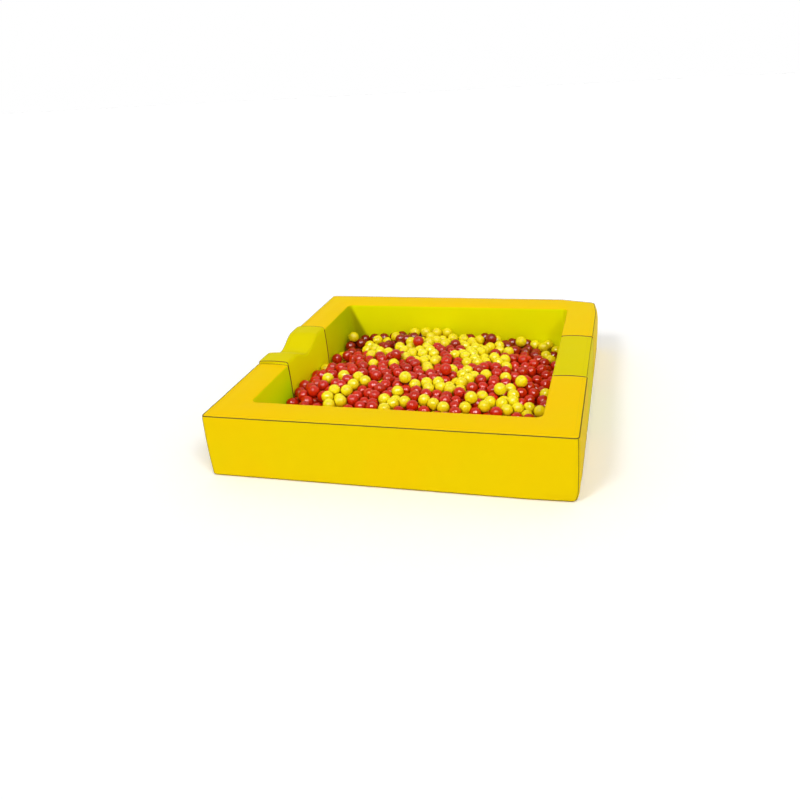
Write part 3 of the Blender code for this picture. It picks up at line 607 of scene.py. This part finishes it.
def upward_normals(grid):
    """Unit normals of a wall's grid: the cross products of its two directions, upward on its top."""
    out = unit(np.cross(np.gradient(grid, axis=1), np.gradient(grid, axis=0)))
    return out if out[grid.shape[0] // 2, grid.shape[1] // 2, 2] > 0 else -out


# Two tired corners: place in plan, reach round it, reach up from the foot or down from the top, and the
# way they are drawn in
TIRED_FOOT = ((HALF, -HALF), 0.055, 0.075, (-0.017, 0.014, 0.0))
TIRED_TOP = ((HALF, HALF), 0.075, 0.14, (-0.024, -0.020, -0.016))


def soft_corner(points):
    """The tired corners drawn in, each as a bell round its place that fades up or down."""
    up, down = points[..., 2], HEIGHT - points[..., 2]
    for level, (corner, reach, fade, way) in ((up, TIRED_FOOT), (down, TIRED_TOP)):
        far = np.linalg.norm(points[..., :2] - corner, axis=-1) / reach
        share = np.exp(-far ** 2) * np.clip(1 - level / fade, 0, 1) ** 2
        points = points + share[..., None] * np.array(way)
    return points


def painted_light_factors(grid, out, is_side):
    """The painted light and shade at each point, as a colour factor: one for the lit tops, and one for each
    face that looks into the pit.

    The rear face gets a painted shadow by the left corner, under a line that slants down from the corner's
    top.
    """
    x, y, z = np.moveaxis(grid, -1, 0)
    # faces towards the pit get painted bounce light and shade
    inside = (np.abs(grid[..., :2]).max(-1) < INSIDE + 0.02) * ramp(-out[..., 2], *UPRIGHT)
    if is_side:
        return blend(PLAIN_TONE, SIDE_INSIDE_PAINTED_BOUNCE, inside)
    facing = out[..., :2] ** 2 / np.maximum((out[..., :2] ** 2).sum(-1, keepdims=True), 1e-9)
    # painted shade on the left face by the rear corner, and painted green bounce light lower on its front
    # half
    high = 1 - ramp(-z, *LEFT_FRONT_FALL) * ramp(y, *LEFT_FRONT_RUN)
    left = np.where(y[..., None] > 0, blend(*LEFT_REAR_PAINTED_SHADE, ramp(y, *LEFT_REAR_RUN)),
                    blend(*LEFT_FRONT_PAINTED_BOUNCE, high))
    side = np.where(x[..., None] < 0, left, OTHER_PAINTED_BOUNCE)
    # painted shadow on the rear face, under a line slanting down from the left corner's top
    shade = np.clip((SHADE_LEAN * (HEIGHT - z) - INSIDE - x) / SHADE_EDGE + 0.5, 0, 1)
    end = np.where(y[..., None] > 0, blend(REAR_PAINTED_BOUNCE, REAR_PAINTED_SHADOW, shade), OTHER_PAINTED_BOUNCE)
    # painted light on the tops
    top = blend(PLAIN_TONE, TOP_PAINTED_LIGHT, ramp(out[..., 2], *UPWARD))
    return blend(top, side * facing[..., :1] + end * facing[..., 1:], inside)


def wall_cover(name, path, edge, finish, body, slot, is_side):
    """A sewn cover: the skin with puckers along its seams and slack in its panels, 1 mm thick.

    Both are smooth noise along the normals. Puckers fade exponentially with the distance from a seam or
    a joint end, and all of it fades out towards the foot.
    """
    grid, side = wall_grid(path, edge, 0.0, 0.010)
    out = upward_normals(grid)
    # painted light and shade factors for the cover's colour
    tone = painted_light_factors(grid, out, is_side)
    along = distances(grid[:, side])
    over = distances(grid[len(grid) // 2])
    seams = [over[side - SEAM_IN], over[SEAM_IN - side - 1]]
    places = np.stack(np.broadcast_arrays(along[:, None], over[None, :] * 0.4), -1)
    near = sum(np.exp(-np.abs(over - seam) / SEAM_REACH) * (SIDE_PUCKERS if is_side else 1.0)
               for seam in seams)
    end = np.minimum(along, along[-1] - along)[:, None]
    calm = ramp(grid[..., 2], 0.02, 0.03)
    pucker = drift(places, *SEAM_PUCKER) * near
    pucker = pucker + drift(places, *END_PUCKER) * np.exp(-end / END_REACH)
    slack = sum(drift(grid, *wave) for wave in SLACK)
    grid = soft_corner(grid + out * ((pucker + slack) * calm)[..., None])
    faces = capped(*grid.shape[:2], round_columns=False)
    cover = piece(name, grid, faces, finish, body, slot, tone=tone)
    thicken(cover, COVER, -1.0)
    return cover, grid, out, side


def dress_wall(module, body, side_x, side_y):
    """A module's cover, foam block, sewn edges and stitches."""
    edge, finish, slot = WALL_TOP_EDGE, WALL_VINYL, "wall_vinyl"
    if side_x:
        edge, finish, slot = SIDE_TOP_EDGE, SIDE_VINYL, "entry_vinyl"
    skin, core = (side_path(side_x, offset, step) if side_x else u_path(side_y, offset, step)
                  for offset, step in ((0.0, 0.009), (FOAM_IN, 0.03)))
    cover, grid, out, side = wall_cover(module + "_sewn_cover", skin, edge, finish, body, slot, side_x != 0)
    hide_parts(module + "_cover")
    block, _ = wall_grid(core, edge, FOAM_IN, 0.03, foot=FOAM_LOW)
    foam = piece(module + "_foam_block", soft_corner(block), capped(*block.shape[:2]), FOAM, body, "foam")
    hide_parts(module + "_foam_core")
    seam = side - SEAM_IN
    welts = [("top", grid[4:-4, seam], TOP_WELTS[module], WELT),
             ("foot", grid[4:-4, FOOT_SEAM], FOOT_WELT, WELT)]
    if not side_x:
        welts += [(label + "_corner", grid[row, FOOT_SEAM:seam + 1], CORNER_WELT, WELT)
                  for label, row in corner_rows(grid)]
    welts += [(label + "_joint", grid[row, 3:-3], JOINT_EDGE_WELT, JOINT_WELT)
              for label, row in (("first", 2), ("last", -3))]
    for label, line, radius, thread in welts:
        welt("%s_%s_welt" % (module, label), line, radius, thread, body, slot)
    lifted = grid + out * 0.0002
    rows = [lifted[5:-5, seam - 2], lifted[5:-5, side + 1]]
    stitches(module + "_seam_stitches", rows, body, slot)


def corner_rows(grid):
    """The rows whose cut runs through the middle of the left and of the right outer corner."""
    x, y = grid[:, EDGE_POINTS, :2].T
    uneven = np.abs(np.abs(x) - np.abs(y))
    return (("left", np.where(x < 0, uneven, 9).argmin()), ("right", np.where(x < 0, 9, uneven).argmin()))


for wall in WALLS:
    dress_wall(*wall)


# Floor mat

def mat_ring(inset, z):
    """A rounded square round the walls' inner corner centres."""
    corner = INSIDE - INNER_CORNER
    plan = rounded_box(corner, corner, INNER_CORNER + MAT_PAST - inset, 8)
    return np.column_stack([plan, np.full(len(plan), z)])


def dress_mat():
    """The mat: a slab with rounded edges and a slightly crowned top, and the foam inside it."""
    turn = quarter(5)
    round_in, round_up = MAT_EDGE * (1 - np.sin(turn)), MAT_EDGE * (1 - np.cos(turn))
    rings = [mat_ring(inset, LIFT + rise) for inset, rise in zip(round_in, round_up)]
    rings += [mat_ring(inset, MAT_TOP - 0.001 - fall) for inset, fall in zip(round_up, round_in)]
    rings = np.array(rings + [mat_ring(0.025, MAT_TOP - 0.000936)])
    rows, columns = rings.shape[:2]
    sides, ends = capped(rows, columns)
    cover = piece("mat_sewn_cover", rings, [sides, ends[1:]], MAT_VINYL, "pit", "mat_vinyl",
                  tone=np.ones((rows * columns, 3)))
    thicken(cover, COVER, -1.0)
    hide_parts("mat_cover")
    rings = np.array([mat_ring(0.005, FOAM_LOW), mat_ring(0.004, MAT_TOP - 0.008),
                      mat_ring(0.008, MAT_TOP - 0.004)])
    foam = piece("mat_foam_block", rings, capped(*rings.shape[:2]), FOAM, "pit", "foam")
    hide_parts("mat_foam_core")


dress_mat()


# Balls

def ball_shape(cuts):
    """A sphere of radius 1: a cube whose faces are cut into cuts by cuts cells at even angles."""
    level = np.tan(np.linspace(-math.pi / 4, math.pi / 4, cuts + 1))
    a, b = (part.ravel() for part in np.meshgrid(level, level, indexing="ij"))
    one = np.ones_like(a)
    sides = [(one, a, b), (-one, b, a), (b, one, a), (a, -one, b), (a, b, one), (b, a, -one)]
    points = unit(np.concatenate([np.stack(side, -1) for side in sides]))
    faces = copies(quads(cuts + 1, cuts + 1)[:, ::-1], 6, (cuts + 1) ** 2)
    _, first, number = np.unique(np.round(points, 6), axis=0, return_index=True, return_inverse=True)
    return points[first], number.ravel()[faces]


def turns(count):
    """Random rotation matrices from unit quaternions."""
    w, x, y, z = unit(SHUFFLE.normal(size=(count, 4))).T
    rows = ((1 - 2 * (y * y + z * z), 2 * (x * y - z * w), 2 * (x * z + y * w)),
            (2 * (x * y + z * w), 1 - 2 * (x * x + z * z), 2 * (y * z - x * w)),
            (2 * (x * z - y * w), 2 * (y * z + x * w), 1 - 2 * (x * x + y * y)))
    return np.moveaxis(np.array(rows), 2, 0)


# Tints of the balls: where random ones start, how much painted shade darkens the ones by the rear wall, and
# where along the pit, as shares of its half length, that comes in
LEAST_TINT = 0.55
REAR_PAINTED_SHADE = 0.9
REAR_START = (0.5, 0.35)


def add_balls(name, centres, colour, body, cuts=3):
    """One mesh of balls, each turned at random, with its own tint, darker as painted shade by the rear wall,
    and its mould line's place.
    """
    points, faces = ball_shape(cuts)
    placed = np.einsum("nij,pj->npi", turns(len(centres)), points) * BALL + centres[:, None]
    # painted shade: balls by the rear wall get a darker tint
    dark = ramp(centres[:, 1] / INSIDE, *REAR_START)
    tint = np.repeat(SHUFFLE.uniform(LEAST_TINT, 1, len(centres)) - REAR_PAINTED_SHADE * dark, len(points))
    return piece(name, placed, copies(faces, len(centres), len(points)), BALL_FINISHES[colour], body,
                 colour + "_ball", sharp=180, tint=tint, mould=np.tile(points[:, 2], len(centres)))


# Hills and hollows of the heap, as bells: place and reach as shares of the inside half width, and rise as
# a share of a ball's width
HILLS = ((-0.80, -0.32, 0.42, 0.95), (-0.25, 0.90, 0.30, 0.3), (0.50, 0.90, 0.40, -0.3))

# Yellow balls that show in the photograph's heap: places in the picture read one by one, from left to right
YELLOW_SEEN = np.array((
    (343, 354), (323, 370), (328, 379), (346, 377), (360, 378), (368, 382), (337, 391), (347, 392),
    (331, 397), (337, 401), (333, 405), (371, 344), (379, 341), (387, 340), (397, 338), (368, 350),
    (376, 350), (373, 357), (381, 352), (388, 354), (400, 348), (404, 352), (405, 358), (410, 343),
    (415, 334), (426, 333), (431, 337), (434, 342), (417, 352), (425, 348), (429, 344), (422, 356),
    (425, 362), (434, 356), (435, 363), (411, 385), (428, 372), (427, 384), (394, 365), (376, 366),
    (397, 391), (388, 399), (395, 405), (404, 402), (427, 400), (435, 405), (444, 407), (447, 334),
    (453, 340), (445, 346), (464, 341), (467, 348), (471, 343), (474, 348), (482, 342), (479, 347),
    (491, 348), (498, 343), (497, 348), (455, 358), (463, 357), (475, 360), (476, 365), (472, 355),
    (482, 353), (453, 371), (468, 372), (458, 377), (466, 378), (460, 383), (439, 384), (444, 387),
    (450, 388), (456, 388), (486, 376), (494, 359), (498, 363), (502, 361), (506, 368), (507, 354),
    (503, 379), (510, 390), (509, 396), (505, 401), (500, 404), (505, 411), (484, 397), (467, 407),
    (478, 406), (523, 412), (542, 395), (539, 412), (536, 345), (541, 348), (547, 345), (544, 357),
    (549, 362), (554, 348)), float)
LOOSE = [("red", number) for number in range(1, 5)] + [("yellow", number) for number in range(1, 7)]

# How the heap settles: steps in all and under a pull, the pull, the share of each push that is taken,
# steps between searches for neighbours, and how near those are, in ball radii
STEPS = 480
PULLED_STEPS = 330
PULL = 0.0006
PUSH_SHARE = 0.7
SEARCH_EVERY = 7
NEIGHBOUR = 2.5

# Springs towards the starts, how far props lie from their loose ball, in ball radii, and how far props,
# balls that show and hidden ones may sink or rise
SHOWN_SPRING = 0.45
HIDDEN_SPRING = 0.02
LATE_SPRING = 0.2
PROP_REACH = 2.02
PROP_SINK = 0.004
SHOWN_SINK = 0.022
SHOWN_RISE = 0.006
HIDDEN_RISE = (-0.020, 0.010)

# The share of the heap that is balls; the share of yellow ones deep down and in the strip by the front
# wall; and how many seen ones, within how many radii, turn a ball yellow
PACKED = 0.60
YELLOW_SHARE = 0.3
DEEP = 0.045
FRONT_STRIP = -0.62
YELLOW_NEAR = 2.7
YELLOW_COUNT = 3


def heap_top(x, y):
    """Height of the heap: 0.125 in the corners, 0.155 by the sides, 0.205 front and back, 0.245 mid,
    and its hills on that.
    """
    across, along = 1 - (x / INSIDE) ** 2, 1 - (y / INSIDE) ** 2
    height = 0.125 + 0.03 * along + 0.08 * across + 0.01 * across * along
    for share_x, share_y, reach, rise in HILLS:
        far = np.hypot(x / INSIDE - share_x, y / INSIDE - share_y) / reach
        height = height + rise * 2 * BALL * np.exp(-far ** 2)
    return height


def on_heap(seen):
    """Balls on the heap at picture places: the camera's ray through each, brought down onto the heap."""
    ray = AHEAD + (RIGHT * (seen[:, :1] - MIDDLE[0]) - UP * (seen[:, 1:] - MIDDLE[1])) / FOCUS
    level = np.full(len(seen), 0.19)
    for _ in range(40):
        spots = EYE + ray * ((level - EYE[2]) / ray[:, 2])[:, None]
        level = (level + heap_top(*spots.T[:2]) - BALL) / 2
    return spots


def settle(held, seen, random):
    """Centres of the heaped balls, pushed apart step by step until they only touch.

    held balls stay, each on three props that touch it from below, seen ones keep near their places at
    the top, and the rest start at random under the heap's top, sink a little each step and keep inside
    the walls and near their start.
    """
    reach = INSIDE - 0.002 - BALL
    tries = random.uniform(-reach, reach, (60000, 2))
    depth = heap_top(*tries.T) - MAT_TOP - 2 * BALL
    keep = tries[random.uniform(0, 0.15, len(tries)) < depth]
    volume = (np.mean(heap_top(*tries.T)) - MAT_TOP - 0.012) * (2 * INSIDE) ** 2
    turn = random.uniform(0, 2, (len(held), 1)) + np.arange(3) * 2 / 3 * math.pi
    down = np.full(turn.shape + (1,), -math.sqrt(2 / 3))
    below = np.concatenate([circle(turn) / math.sqrt(3), down], -1) * PROP_REACH * BALL
    props = (held[:, None] + below).reshape(-1, 3)
    props[:, :2] = np.clip(props[:, :2], -reach, reach)
    firm = np.concatenate([held, props, seen])
    count = int(volume * PACKED / (4 / 3 * math.pi * BALL ** 3)) - len(seen) - len(props)
    start = keep[:count]
    low = MAT_TOP + BALL
    z = random.uniform(low, heap_top(*start.T) - BALL)
    spots = np.concatenate([firm, np.column_stack([start, z])])
    home = spots.copy()
    number = np.arange(len(spots))
    loose, shown = number >= len(held), number < len(firm)
    spring = np.where(shown, SHOWN_SPRING, HIDDEN_SPRING)[:, None]
    sink = np.where(number < len(held) + len(props), PROP_SINK, SHOWN_SINK)
    rise = random.uniform(*HIDDEN_RISE, len(spots))
    for step in range(STEPS):
        if step % SEARCH_EVERY == 0:
            gap = np.linalg.norm(spots[:, None] - spots[None], axis=-1)
            first, second = np.nonzero(np.triu(gap < NEIGHBOUR * BALL, 1))
        way = spots[second] - spots[first]
        far = np.linalg.norm(way, axis=-1)
        push = np.maximum(2 * BALL - far, 0)[:, None] * way / np.maximum(far, 1e-9)[:, None] * 0.5
        shift = np.stack([np.bincount(second, push[:, axis], len(spots))
                          - np.bincount(first, push[:, axis], len(spots)) for axis in range(3)], -1)
        early = step < PULLED_STEPS
        shift[:, 2] -= PULL if early else 0.0
        shift[:, :2] += (home - spots)[:, :2] * (spring if early else spring * shown[:, None] * LATE_SPRING)
        spots[loose] += (shift * PUSH_SHARE)[loose]
        spots[loose, :2] = np.clip(spots[loose, :2], -reach, reach)
        most = np.where(shown, home[:, 2] + SHOWN_RISE, heap_top(*spots.T[:2]) - BALL + rise)
        least = np.maximum(np.where(shown, home[:, 2] - sink, low), low)
        spots[loose, 2] = np.clip(spots[:, 2], least, np.maximum(most, least))[loose]
    heaped = spots[len(held):]
    return np.concatenate([heaped[len(props):], heaped[:len(props)]])


def heap_balls():
    """The balls that lie loose on top, one piece each, and the rest of the heap, one piece a colour."""
    held = np.array([np.mean(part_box("loose_ball_%s_%d" % one), axis=0) for one in LOOSE])
    for (colour, number), centre in zip(LOOSE, held):
        made = add_balls("top_%s_ball_%d" % (colour, number), centre[None], colour,
                         "loose_%s_%d" % (colour, number), cuts=8)
        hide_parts("loose_ball_%s_%d" % (colour, number))
    random = np.random.default_rng(5)
    seen = on_heap(YELLOW_SEEN)
    spots = settle(held, seen, random)
    deep = heap_top(*spots.T[:2]) - BALL - spots[:, 2] > DEEP
    chance = np.where(deep | (spots[:, 1] < FRONT_STRIP * INSIDE), YELLOW_SHARE, 0.0)
    gap = np.linalg.norm(spots[:, None, :2] - spots[None, :len(seen), :2], axis=-1)
    chance[(gap < YELLOW_NEAR * BALL).sum(1) >= YELLOW_COUNT] = 1.0
    chance[:len(seen)] = 1.0
    yellow = random.uniform(0, 1, len(spots)) < chance
    for colour, chosen in (("red", ~yellow), ("yellow", yellow)):
        made = add_balls(colour + "_balls", spots[chosen], colour, "pit")
        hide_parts(colour + "_ball_layer")


heap_balls()


# Base panels, zips and hook and loop strips

def base_path(path, cuts):
    """A wall's base panel as a grid: the cuts across it carried from the outer edge to the inner one."""
    inset = (SWELL + FOOT_EDGE + FIT_GAP + path["drawn"])[:, None]
    outer = path["outer"] - path["out"] * inset
    inner = path["inner"] + path["out"] * inset
    grid = outer[:, None] + (inner - outer)[:, None] * cuts[None, :, None]
    return np.concatenate([grid, np.full(grid.shape[:2] + (1,), BASE_PANEL / 2)], -1)


def slot_cuts(width):
    """Shares across a base panel of a width, with one on each side of the zip's slot in its middle."""
    near = [0.0, 0.05, 0.25, 0.5 - ZIP_SLOT / 2 / width]
    return np.array(near + [1 - share for share in near[::-1]])


def add_base(module, body, grid, open_cells):
    """A base panel of non-slip cloth with a slot for its zip and a row of stitches round its edge."""
    faces = quads(*grid.shape[:2])[~open_cells.ravel()]
    base = piece(module + "_base_cloth", grid, faces, BASE, body, "base_fabric")
    thicken(base, BASE_PANEL - 0.0001, 0.0)
    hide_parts(module + "_base_panel")
    edge = grid.copy()
    edge[..., 2] = 0.0002
    lines = [edge[:, 1], edge[:, -2]]
    if module == "mat":
        lines = [edge[1:-1, 1], edge[1:-1, -2], edge[1, 1:-1], edge[-2, 1:-1]]
    stitches(module + "_base_stitches", lines, body, "base_fabric")


def zip_places(middle, along, distance, sideways, z):
    """Points of a zip from their distance along it, sideways offset and height, in one array."""
    distance, sideways, z = np.broadcast_arrays(distance, sideways, z)
    plan = (distance, sideways) if along == 0 else (sideways, distance)
    return np.stack([middle[0] + plan[0], middle[1] + plan[1], z], -1)


# A zip tape's half thickness and the sideways places of its section; a tooth's half length, distance from
# the slit and half height, at its tip and at its root
TAPE_HALF = 0.0003
TAPE_PLACES = (0.0016, 0.0051, 0.0076, 0.0134, 0.0136)
TOOTH = ((0.0007, 0.0007, 0.0008), (0.0009, 0.0024, 0.0011))


def add_zip(module, body, middle, along, half):
    """Two woven tapes with a row of teeth on each, and a slider at the low end.

    A tape's section slopes down from the teeth to lie on the base panel. A tooth is a block of eight
    points that narrows towards the slit, and the teeth of the two sides lie half a pitch apart.
    """
    seat = BASE_PANEL + FIT_GAP
    lower = (ZIP_LEVEL - TAPE_HALF, ZIP_LEVEL - TAPE_HALF, seat, seat)
    upper = (ZIP_LEVEL + TAPE_HALF, ZIP_LEVEL + TAPE_HALF, seat + 2 * TAPE_HALF, seat + 2 * TAPE_HALF)
    outline = TAPE_PLACES + TAPE_PLACES[-2::-1]
    heights = lower + (seat + TAPE_HALF,) + upper[::-1]
    ends = spread(-half, half, 0.05)
    block = np.array([(a * half_long, out, ZIP_LEVEL + b * half_high) for half_long, out, half_high in TOOTH
                      for a, b in ((-1, -1), (1, -1), (1, 1), (-1, 1))])
    for side, label in ((-1, "a"), (1, "b")):
        tape = zip_places(middle, along, ends[:, None], side * np.array(outline), np.array(heights))
        made = piece(module + "_woven_tape_" + label, tape, capped(*tape.shape[:2]), ZIP_CLOTH, body,
                     "zip_tape")
        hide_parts(module + "_zip_tape_" + label)
        start = np.arange(-half + TOOTH_PITCH * (0.75 if side > 0 else 0.25), half - 0.0006, TOOTH_PITCH)
        teeth = zip_places(middle, along, start[:, None] + block[:, 0], side * block[:, 1], block[:, 2])
        faces = copies(np.concatenate(capped(2, 4)), len(start), 8)
        piece(module + "_zip_teeth_" + label, teeth, faces, ZIP_CLOTH, body, "zip_tape")
    add_slider(module, middle, along, -half + SLIDER_LENGTH / 2)


def lozenge(half_long, half_wide, power):
    """An outline of 24 points: an ellipse, squarer the smaller the power that cosine and sine take."""
    points = circle(np.linspace(0, 2 * math.pi, 24, endpoint=False))
    return np.array((half_long, half_wide)) * np.sign(points) * np.abs(points) ** power


def add_slider(module, middle, along, start):
    """A zip slider: two shield-shaped plates, the wedge between them and a flat pull under the lower."""
    half_wide, plate = 0.0045, 0.0012
    shield = lozenge(SLIDER_LENGTH / 2, half_wide, 0.6)
    shield[:, 1] *= 1 - 0.22 * np.clip(shield[:, 0] / (SLIDER_LENGTH / 2), 0, 1)
    low, high = ZIP_LEVEL - 0.0014, ZIP_LEVEL + 0.0014
    parts = ((shield, low - plate, low, 0.0003), (shield, high, high + plate, 0.0003),
             (lozenge(0.0050, 0.0003, 1), low - 0.0001, high + 0.0001, 0.0),
             (lozenge(0.0048, 0.0022, 0.45), 0.0002, 0.0009, 0.0002))
    rings = []
    for outline, bottom, top, bevel in parts:
        shrink = 1 - bevel / half_wide
        for share, z in ((shrink, bottom), (1, bottom + bevel + 0.0001), (1, top - bevel - 0.0001),
                         (shrink, top)):
            rings.append(np.column_stack([outline * share, np.full(len(outline), z)]))
    x, y, z = np.concatenate(rings).T
    faces = [copies(group, len(parts), 4 * len(shield)) for group in capped(4, len(shield))]
    made = piece(module + "_slider_body", zip_places(middle, along, start + x, y, z), faces, ZIP_METAL,
                 module + "_slider", "zip_metal")
    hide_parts(module + "_zip_slider")


# Rings of a strip from rim to middle: how far in, share of the half thickness, and height of the pile
STRIP_RINGS = ((0.0005, 0.9, 0), (0.0030, 0.9, 0.0001), (0.0036, 0.45, 0), (0.0044, 0.45, 0),
               (0.0052, 0.9, 0.0002)) + tuple(
    (inset, 1.0, 0.0003) for inset in (0.0090, 0.0130, 0.0170, 0.0210, 0.0250, 0.0285))


def add_strip(name, body):
    """A hook or loop strip: a tape with rounded corners, a sewn groove near its edge and a rough pile.

    Rings of points run from the middle of the back over the rim to the middle of the front.
    """
    low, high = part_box(name)
    centre, half = (np.array(low) + high) / 2, (np.array(high) - low) / 2
    shares = np.linspace(0, 1, 30)[1:-1]

    def ring(inset, depth, rough):
        radius = max(0.004 - inset, 0.0006)
        plan = rounded_box(half[0] - inset - radius, half[2] - inset - radius, radius, 5, shares)
        out = depth * half[1] - np.sign(depth) * rough * SHUFFLE.uniform(0, 1, len(plan))
        return np.column_stack([centre[0] + plan[:, 0], centre[1] + out, centre[2] + plan[:, 1]])

    rings = [ring(inset, -depth, rough) for inset, depth, rough in STRIP_RINGS[::-1]]
    rings += [ring(0.0, -0.6, 0), ring(0.0, 0.6, 0)]
    rings += [ring(inset, depth, rough) for inset, depth, rough in STRIP_RINGS]
    made = piece(name.replace("_strip", "_pile"), rings, capped(len(rings), len(rings[0])), PILE, body,
                 "hook_and_loop")
    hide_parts(name)
    lines = [ring(0.0040, depth, 0) for depth in (-0.55, 0.55)]
    stitches(name + "_stitches", lines, body, "hook_and_loop", pitch=0.005, length=0.0035, radius=0.0003)


def within(values, half):
    """Which steps between neighbouring values lie within half of zero."""
    middle = (values[1:] + values[:-1]) / 2
    return np.abs(middle) < half


def add_wall_base(module, body, side_x, side_y):
    """The base panel and zip of a wall: of a U on side_y, or of a side module on side_x."""
    middle = (side_x * (HALF - THICK / 2), side_y * (HALF - THICK / 2))
    if side_x:
        along, half = 1, SIDE_ZIP
        flat = SIDE_HALF - JOINT_EDGE
        y = np.concatenate([spread(-flat, -half - FIT_GAP, 0.04)[1:],
                            spread(half + FIT_GAP, flat, 0.04)[:-1]])
        path = side_path(side_x, 0.0, 0.04, y)
        run = path["outer"][:, 1]
    else:
        along, half, elsewhere = 0, WALL_ZIP, 9.0
        x = np.concatenate([[-half - FIT_GAP], spread(-half, half, 0.07)[1:-1], [half + FIT_GAP]])
        path = u_path(side_y, 0.0, 0.06, BASE_CORNER_CUTS, x)
        run = np.where(np.abs(path["outer"][:, 1]) > HALF - 0.0001, path["outer"][:, 0], elsewhere)
        run[np.abs(run) > half + 0.001] = elsewhere
    cuts = slot_cuts(THICK - 2 * (SWELL + FOOT_EDGE + FIT_GAP))
    grid = soft_corner(base_path(path, cuts))
    open_rows = within(run, half + 0.001) & (np.abs(np.diff(run)) < 2 * half + 0.01)
    add_base(module, body, grid, open_rows[:, None] & within(cuts - 0.5, 0.01))
    add_zip(module, body, middle, along, half)


def add_mat_base():
    """The mat's base panel: rows from front to rear, each as wide as the rounded square is there."""
    radius = INNER_CORNER + MAT_PAST - MAT_EDGE - FIT_GAP
    corner = INSIDE - INNER_CORNER
    turn = quarter(7)
    y = np.concatenate([-corner - radius * np.cos(turn), spread(-corner, MAT_ZIP_Y - ZIP_SLOT / 2, 0.05)[1:],
                        spread(MAT_ZIP_Y + ZIP_SLOT / 2, corner, 0.1)[:-1], corner + radius * np.sin(turn)])
    wide = corner + np.sqrt(np.maximum(radius ** 2 - np.maximum(np.abs(y) - corner, 0) ** 2, 0))
    end = (MAT_ZIP + FIT_GAP) / (corner + radius)
    cuts = np.concatenate([spread(-1, -end, 0.1), spread(-end, end, 0.1)[1:-1], spread(end, 1, 0.1)])
    grid = np.stack(np.broadcast_arrays(wide[:, None] * cuts[None, :], y[:, None], BASE_PANEL / 2), -1)
    add_base("mat", "pit", grid, within(y - MAT_ZIP_Y, ZIP_SLOT / 2)[:, None] & within(cuts, end))
    add_zip("mat", "pit", (0.0, MAT_ZIP_Y), 0, MAT_ZIP)


for module, body, side_x, side_y in WALLS:
    add_wall_base(module, body, side_x, side_y)
    for place in (("front", "rear") if side_x else ("left", "right")):
        add_strip("%s_%s_%s_strip" % (module, place, "hook" if side_x else "loop"), body)
add_mat_base()


# Floor, light and camera

# Lamps: bearing from -Y towards +X, height and width in degrees, strength, and whether it only shows in
# glossy plastic, where the others don't
LAMPS = (
    ("left_softbox", -32.0, 46.0, 15.0, 0.84, False), ("right_softbox", 48.0, 46.0, 15.0, 0.84, False),
    ("left_spot", -11.0, 52.0, 24.0, 6.0, True), ("right_spot", 43.0, 52.0, 24.0, 6.0, True),
)
FLOOR_REACH = 30
FLOOR_LIT = (0.86, 0.86, 0.86, 1.0)
FLOOR_SEEN = (1.10, 1.10, 1.10, 1.0)
STUDIO_LEVEL = 0.56


def add_floor():
    """A wide white floor, a little brighter where the camera sees it than in the light that it gives."""
    far = FLOOR_REACH
    mesh = bpy.data.meshes.new("studio_floor")
    mesh.from_pydata([(-far, -far, 0), (far, -far, 0), (far, far, 0), (-far, far, 0)], [], [(0, 1, 2, 3)])
    finish = Finish("studio_floor_white")
    seen = finish.add("LightPath").outputs["Is Camera Ray"]
    colour = finish.mix(seen, FLOOR_LIT, FLOOR_SEEN)
    mesh.materials.append(finish.set(Base_Color=colour, Roughness=1.0, Specular_IOR_Level=0.0))
    added("studio_floor", mesh)


def add_lamp(name, bearing, height, width, strength, gloss):
    """A distant round lamp, of the values that a row of LAMPS has."""
    lamp = bpy.data.lights.new(name, "SUN")
    lamp.angle = math.radians(width)
    lamp.energy = strength
    made = added(name, lamp)
    made.visible_diffuse = not gloss
    made.visible_glossy = gloss
    turn, lift = math.radians(bearing), math.radians(height)
    towards = Vector((math.sin(turn) * math.cos(lift), -math.cos(turn) * math.cos(lift), math.sin(lift)))
    made.rotation_euler = towards.to_track_quat("Z", "Y").to_euler()


def set_world():
    """A white studio all round: full white where it is seen or mirrored, and dimmer as a light."""
    world = bpy.data.worlds.new("studio")
    bpy.context.scene.world = world
    tree = Tree(world)
    rays = tree.add("LightPath").outputs
    seen = tree.sums("MAXIMUM", rays["Is Camera Ray"], rays["Is Glossy Ray"])
    seen = tree.sums("MAXIMUM", seen, rays["Is Transmission Ray"])
    strength = tree.span(seen, 0.0, 1.0, STUDIO_LEVEL, 1.0)
    background = tree.nodes["Background"]
    tree.put((1.0, 1.0, 1.0, 1.0), background.inputs["Color"])
    tree.put(strength, background.inputs["Strength"])


def add_camera():
    """The photograph's camera, its lens shifted to look at the picture's MIDDLE."""
    camera = bpy.data.cameras.new("camera")
    camera.sensor_fit = "HORIZONTAL"
    camera.sensor_width = 36.0
    camera.lens = camera.sensor_width * FOCUS / PICTURE
    camera.shift_x = (PICTURE / 2 - MIDDLE[0]) / PICTURE
    camera.shift_y = (MIDDLE[1] - PICTURE / 2) / PICTURE
    made = added("camera", camera)
    turn = Matrix((Vector(RIGHT), Vector(UP), Vector(-AHEAD))).transposed().to_4x4()
    made.matrix_world = Matrix.Translation(Vector(EYE)) @ turn
    bpy.context.scene.camera = made


add_floor()
set_world()
for lamp in LAMPS:
    add_lamp(*lamp)
add_camera()
bpy.context.scene.view_settings.view_transform = "Standard"
